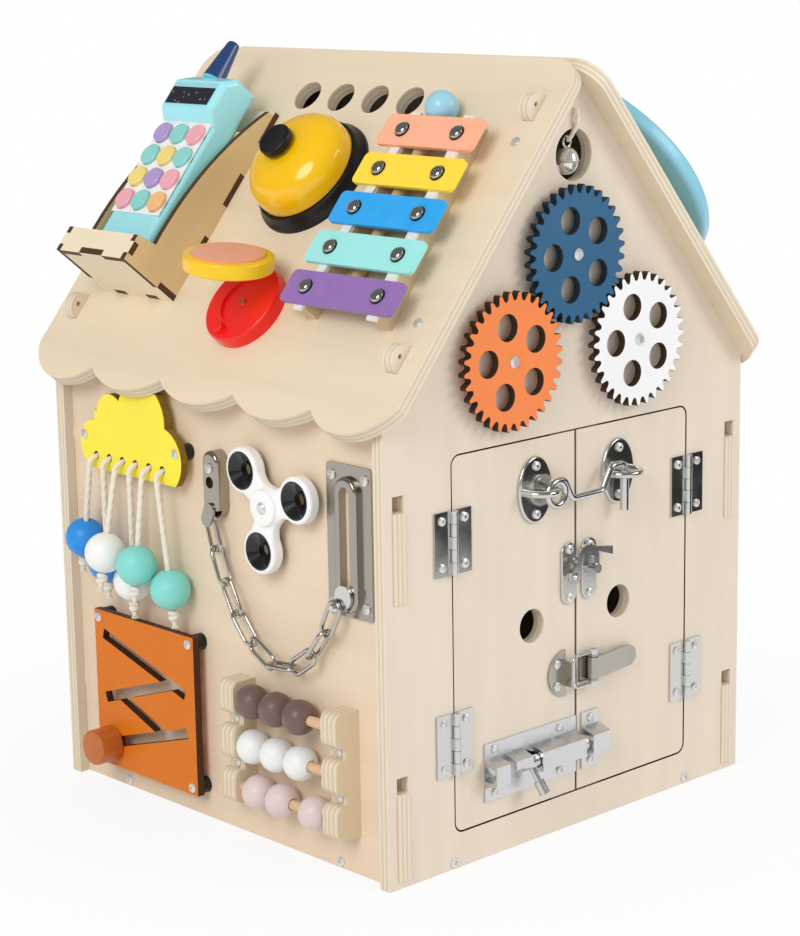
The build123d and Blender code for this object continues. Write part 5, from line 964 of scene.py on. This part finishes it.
STRAND_TOP, FIRST_STRAND, STRAND_PITCH = 0.2122, 0.1866, 0.0129
IN_HOLE, PAST_CLOUD = 0.0065, 0.0155
CORD_RADIUS, CORD_LAY, KNOT_RADIUS, KNOT_LOOP, FIBRE_RADIUS = 0.0019, 0.0065, 0.0034, 0.0017, 0.00035
RAIN_BEAD, RAIN_BORE, TAIL_LENGTH, STRAND_BEND = 0.0122, 0.0023, 0.010, 0.014
strand_bead = np.array([(12.4, 180.6, 141.4), (23.2, 198.3, 155.0), (12.4, 216.6, 140.0),
                        (27.0, 224.2, 159.0), (12.4, 242.2, 147.9), (12.4, 263.9, 159.1)]) / 1000
rain_paint = [moulded("rain_teal", "#86DDD4", 0.38, 0.05), moulded("rain_white", "#F4F5F4", 0.35, 0.1),
              moulded("rain_blue", "#2A92E6", 0.38, 0.05)]
for step, place in enumerate(strand_bead):
    strand_back = FIRST_STRAND + STRAND_PITCH * step
    start = np.array([-WALL_FACE - IN_HOLE, strand_back - HALF_DEPTH, STRAND_TOP])
    drop = np.array([-WALL_FACE - PAST_CLOUD, strand_back - HALF_DEPTH, STRAND_TOP - 0.0004])
    bead = np.array([-WALL_FACE - place[0], place[1] - HALF_DEPTH, place[2]])
    hang = unit(bead - drop)
    tail = bead + hang * (RAIN_BEAD + TAIL_LENGTH)
    route = [start, drop, drop + hang * 0.009, tail]
    strand, line = twisted_cord(f"strand_{step}", route, CORD_RADIUS, (0, 1, 0), CORD_LAY)
    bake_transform(strand)
    across = unit(np.cross(hang, (0, 1, 0)))
    beside = np.cross(hang, across)
    ball_grid = turned(bead_profile(RAIN_BEAD, RAIN_BORE), seat([across, beside, hang], bead), 64)
    ball = skin(f"strand_bead_{step}", ball_grid, rain_paint[step // 2], "rain", True)
    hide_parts("rain_beads")
    around = np.linspace(0, 4 * np.pi, 72)
    knot_middle = bead + hang * (RAIN_BEAD + KNOT_RADIUS)
    wound = np.stack([np.cos(around), np.sin(around), np.sin(around / 2)], axis=1)
    loops = knot_middle + KNOT_LOOP * wound @ np.array([across, beside, hang])
    knot = skin(f"strand_knot_{step}", carried(loops, KNOT_LOOP, hang, 10), cotton, "rain", crease=180)
    spread = ring_of(1.0, 9) @ np.array([across, beside])
    along_tail = np.linspace(0, 1, 6)[:, None, None]
    fibres = tail + (0.0055 * along_tail - 0.004) * hang + (0.0004 + 0.0016 * along_tail ** 2) * spread
    fibre_grids = carried(fibres.swapaxes(0, 1), FIBRE_RADIUS, (0.3, 0.9, 0.1), 5)
    fray = skin(f"strand_fray_{step}", fibre_grids, cotton, "rain", crease=180)
    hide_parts("rain_cords")


# Jingle bell pressed from two halves with a rolled seam and a sound slot, hung in its hole by a
# short cord that is knotted behind the gable.
bell_middle = np.array([0.0, -0.1425, 0.3923])
BELL_RADIUS, SEAM_ROLL, SLOT_DEPTH, BELL_NARROW = 0.008, 0.0010, 0.0014, 0.86
RING_UP, RING_RADIUS, RING_WIRE, STRING_RADIUS, STRING_LAY = 0.0106, 0.003, 0.0008, 0.0014, 0.005
polar = np.radians(np.linspace(0, 180, 121))[:, None]
turn = np.linspace(0, 2 * np.pi, 72, endpoint=False)
ball_x, ball_y, ball_z = np.sin(polar) * np.cos(turn), np.sin(polar) * np.sin(turn), np.cos(polar) + 0 * turn
bulge = BELL_RADIUS + SEAM_ROLL * np.exp(-(ball_z / 0.05) ** 2)
bulge = np.where((np.abs(ball_y) < 0.1) & (ball_z < -0.25), bulge - SLOT_DEPTH, bulge)
narrowed = np.stack([ball_x, ball_y, ball_z], axis=2) * (BELL_NARROW, BELL_NARROW, 1.0)
bell_grid = bell_middle + bulge[..., None] * narrowed
# Painted light: the bell's plate is a lighter, less metallic copy of the nickel, so that the bell reads
# bright in the shade of its hole.
lightened_bell_plate = plated("bell_nickel_painted_light", "#F4F2EE", 0.1, metal=0.7)
jingle = skin("jingle_ball", bell_grid, lightened_bell_plate, "jingle_bell", crease=35)
ring_path = bell_middle + arc((0, RING_UP), RING_RADIUS, 0, 360, 41) @ np.array([(1, 0, 0), (0, 0, 1)])
ring_grid = wire_loop(ring_path, RING_WIRE, (0, 1, 0))
jingle_ring = skin("jingle_ring", ring_grid, nickel, "jingle_bell", True, 80)
for piece in (jingle, jingle_ring):
    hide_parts("jingle_bell")
bell_route = np.array([(0, -0.1345, 0.4204), (0, -0.148, 0.4204), (0, -0.1513, 0.4204), (0, -0.1502, 0.410),
                       (0, -0.1425, 0.4029)])
bell_string, line = twisted_cord("bell_string", bell_route, STRING_RADIUS, (1, 0, 0), STRING_LAY)
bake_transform(bell_string)
around = np.linspace(0, 4 * np.pi, 64)
wound = np.stack([np.cos(around), np.sin(around / 2), np.sin(around)], axis=1)
stop_loops = bell_route[0] + (0, 0.001, 0) + wound * (0.0013, 0.0012, 0.0013)
stop_knot = skin("bell_string_knot", carried(stop_loops, 0.001, (0, 1, 0), 10), cotton, "house", crease=180)
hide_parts("bell_cord")


# Phone keys: domed moulded buttons with a raised rim, in mixed colours, four rows of three.
key_profile = np.vstack([
    [(0.0, 0.0), (0.0069, 0.0)],
    arc((0.0059, 0.0024), 0.0010, 0, 90, 6),
    arc((0.0048, 0.0030), 0.0004, 60, 120, 4),
    [(0.0036, 0.0031), (0.0018, 0.0034), (0.0, 0.0035)],
])
key_rows = ("purple teal pink", "teal yellow teal", "yellow purple pink", "pink teal amber")
key_paint = {"purple": "#B29CD2", "teal": "#8FD8D2", "pink": "#F3AEBB", "yellow": "#F7DE84",
             "amber": "#F7BF80"}
KEY_APART, KEY_ROW_APART, KEY_OUT = 0.0156, 0.0162, 0.0320
for colour, code in key_paint.items():
    seats = [on_roof(PHONE_BACK - (column - 1) * KEY_APART, KEY_DOWN + (row - 1.5) * KEY_ROW_APART, KEY_OUT)
             for row, names in enumerate(key_rows) for column, name in enumerate(names.split())
             if name == colour]
    key_plastic = moulded(colour + "_key", code, 0.22, 0.5)
    keys = skin(colour + "_keys", turned(key_profile, seats, 40), key_plastic, "phone_keys")
    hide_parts("phone_keys")


# Call bell: a black base with a rolled foot, a spun gong in gloss yellow enamel and a black button
# on a bright stem.
bell_seat = on_roof(0.1467, 0.101)
base_profile = np.vstack([[(0.0, 0.0), (0.0390, 0.0)], arc((0.0374, 0.0012), 0.0014, 0, 60, 5),
                          [(0.0362, 0.0060)], arc((0.0347, 0.0082), 0.0008, 30, 90, 5), [(0.0, 0.0090)]])
crown = np.clip(arc((0.0, 0.0), 1.0, 0, 90, 48), 0.0, 1.0) ** (2 / 2.4)
gong_profile = np.vstack([[(0.0, 0.0091), (0.0331, 0.0091), (0.0336, 0.0096)],
                          (0.0, 0.012) + crown * (0.0336, 0.021)])
gong_enamel = moulded("gong_enamel", "#F6C208", 0.16, 0.5, 0.04, 0.02)
stem_profile = np.array([(0.0, 0.024), (0.004, 0.024), (0.004, 0.0362), (0.0, 0.0362)])
button_profile = np.vstack([[(0.0, 0.0350), (0.0098, 0.0350)], arc((0.0098, 0.0357), 0.0007, -90, 0, 4),
                            arc((0.0091, 0.0391), 0.0014, 0, 90, 6),
                            arc((0.0, 0.0405), (0.0075, 0.0006), 0, -90, 8)])
call_bell = {"base": (base_profile, 96, black_plastic, "house", "bell_base", "black_plastic"),
             "gong": (gong_profile, 96, gong_enamel, "house", "bell_dome", "bell_metal"),
             "stem": (stem_profile, 32, nickel, "bell_button", "bell_button", "black_plastic"),
             "button": (button_profile, 56, black_plastic, "bell_button", "bell_button", "black_plastic")}
for part, (profile, segments, finish, body, node, part_slot) in call_bell.items():
    piece = skin("call_bell_" + part, turned(profile, bell_seat, segments), finish, body)
    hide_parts(node)


# Brass rivet in the castanet's dish, where its elastic would be fixed.
rivet_profile = np.vstack([[(0.0, 0.0072), (0.0026, 0.0072)], arc((0.0, 0.0074), (0.0026, 0.0014), 0, 90, 8)])
rivet_brass = plated("rivet_brass", "#C9A24A", 0.25)
rivet = skin("castanet_rivet", turned(rivet_profile, on_roof(0.139, 0.1919), 28), rivet_brass, "house")


# Mallet: a pale blue wooden ball on a turned stick, laid on the roof under the xylophone's bars.
BALL_RADIUS, STICK_RADIUS, STICK_LENGTH, STICK_TOP = 0.0099, 0.0036, 0.128, -0.009
lying = on_roof(0.0623, 0.0532, BALL_RADIUS + 0.0003)
stick_lean = np.arcsin((BALL_RADIUS - STICK_RADIUS) / STICK_LENGTH)
stick_way = roof_up * np.cos(stick_lean) + roof_out * np.sin(stick_lean)
mallet_seat = seat([(0, -1, 0), np.cross(stick_way, (0, -1, 0)), stick_way], lying[3])
mallet_ball = skin("mallet_ball", turned(arc((0, 0), BALL_RADIUS, -90, 90, 32), mallet_seat, 64),
                   moulded("mallet_paint", "#9CD0E4", 0.3, 0.3), "mallet")
stick_profile = np.vstack([[(0.0, -STICK_LENGTH)], arc((0.0026, 0.001 - STICK_LENGTH), 0.001, -90, 0, 6),
                           [(STICK_RADIUS, STICK_TOP), (0.0, STICK_TOP)]])
stick_wood = bare_wood("stick_beech", "#D9B98A", stick_way, (0, 1, 0))
mallet_stick = skin("mallet_stick", turned(stick_profile, mallet_seat, 28), stick_wood, "mallet")
for piece in (mallet_ball, mallet_stick):
    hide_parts("mallet")
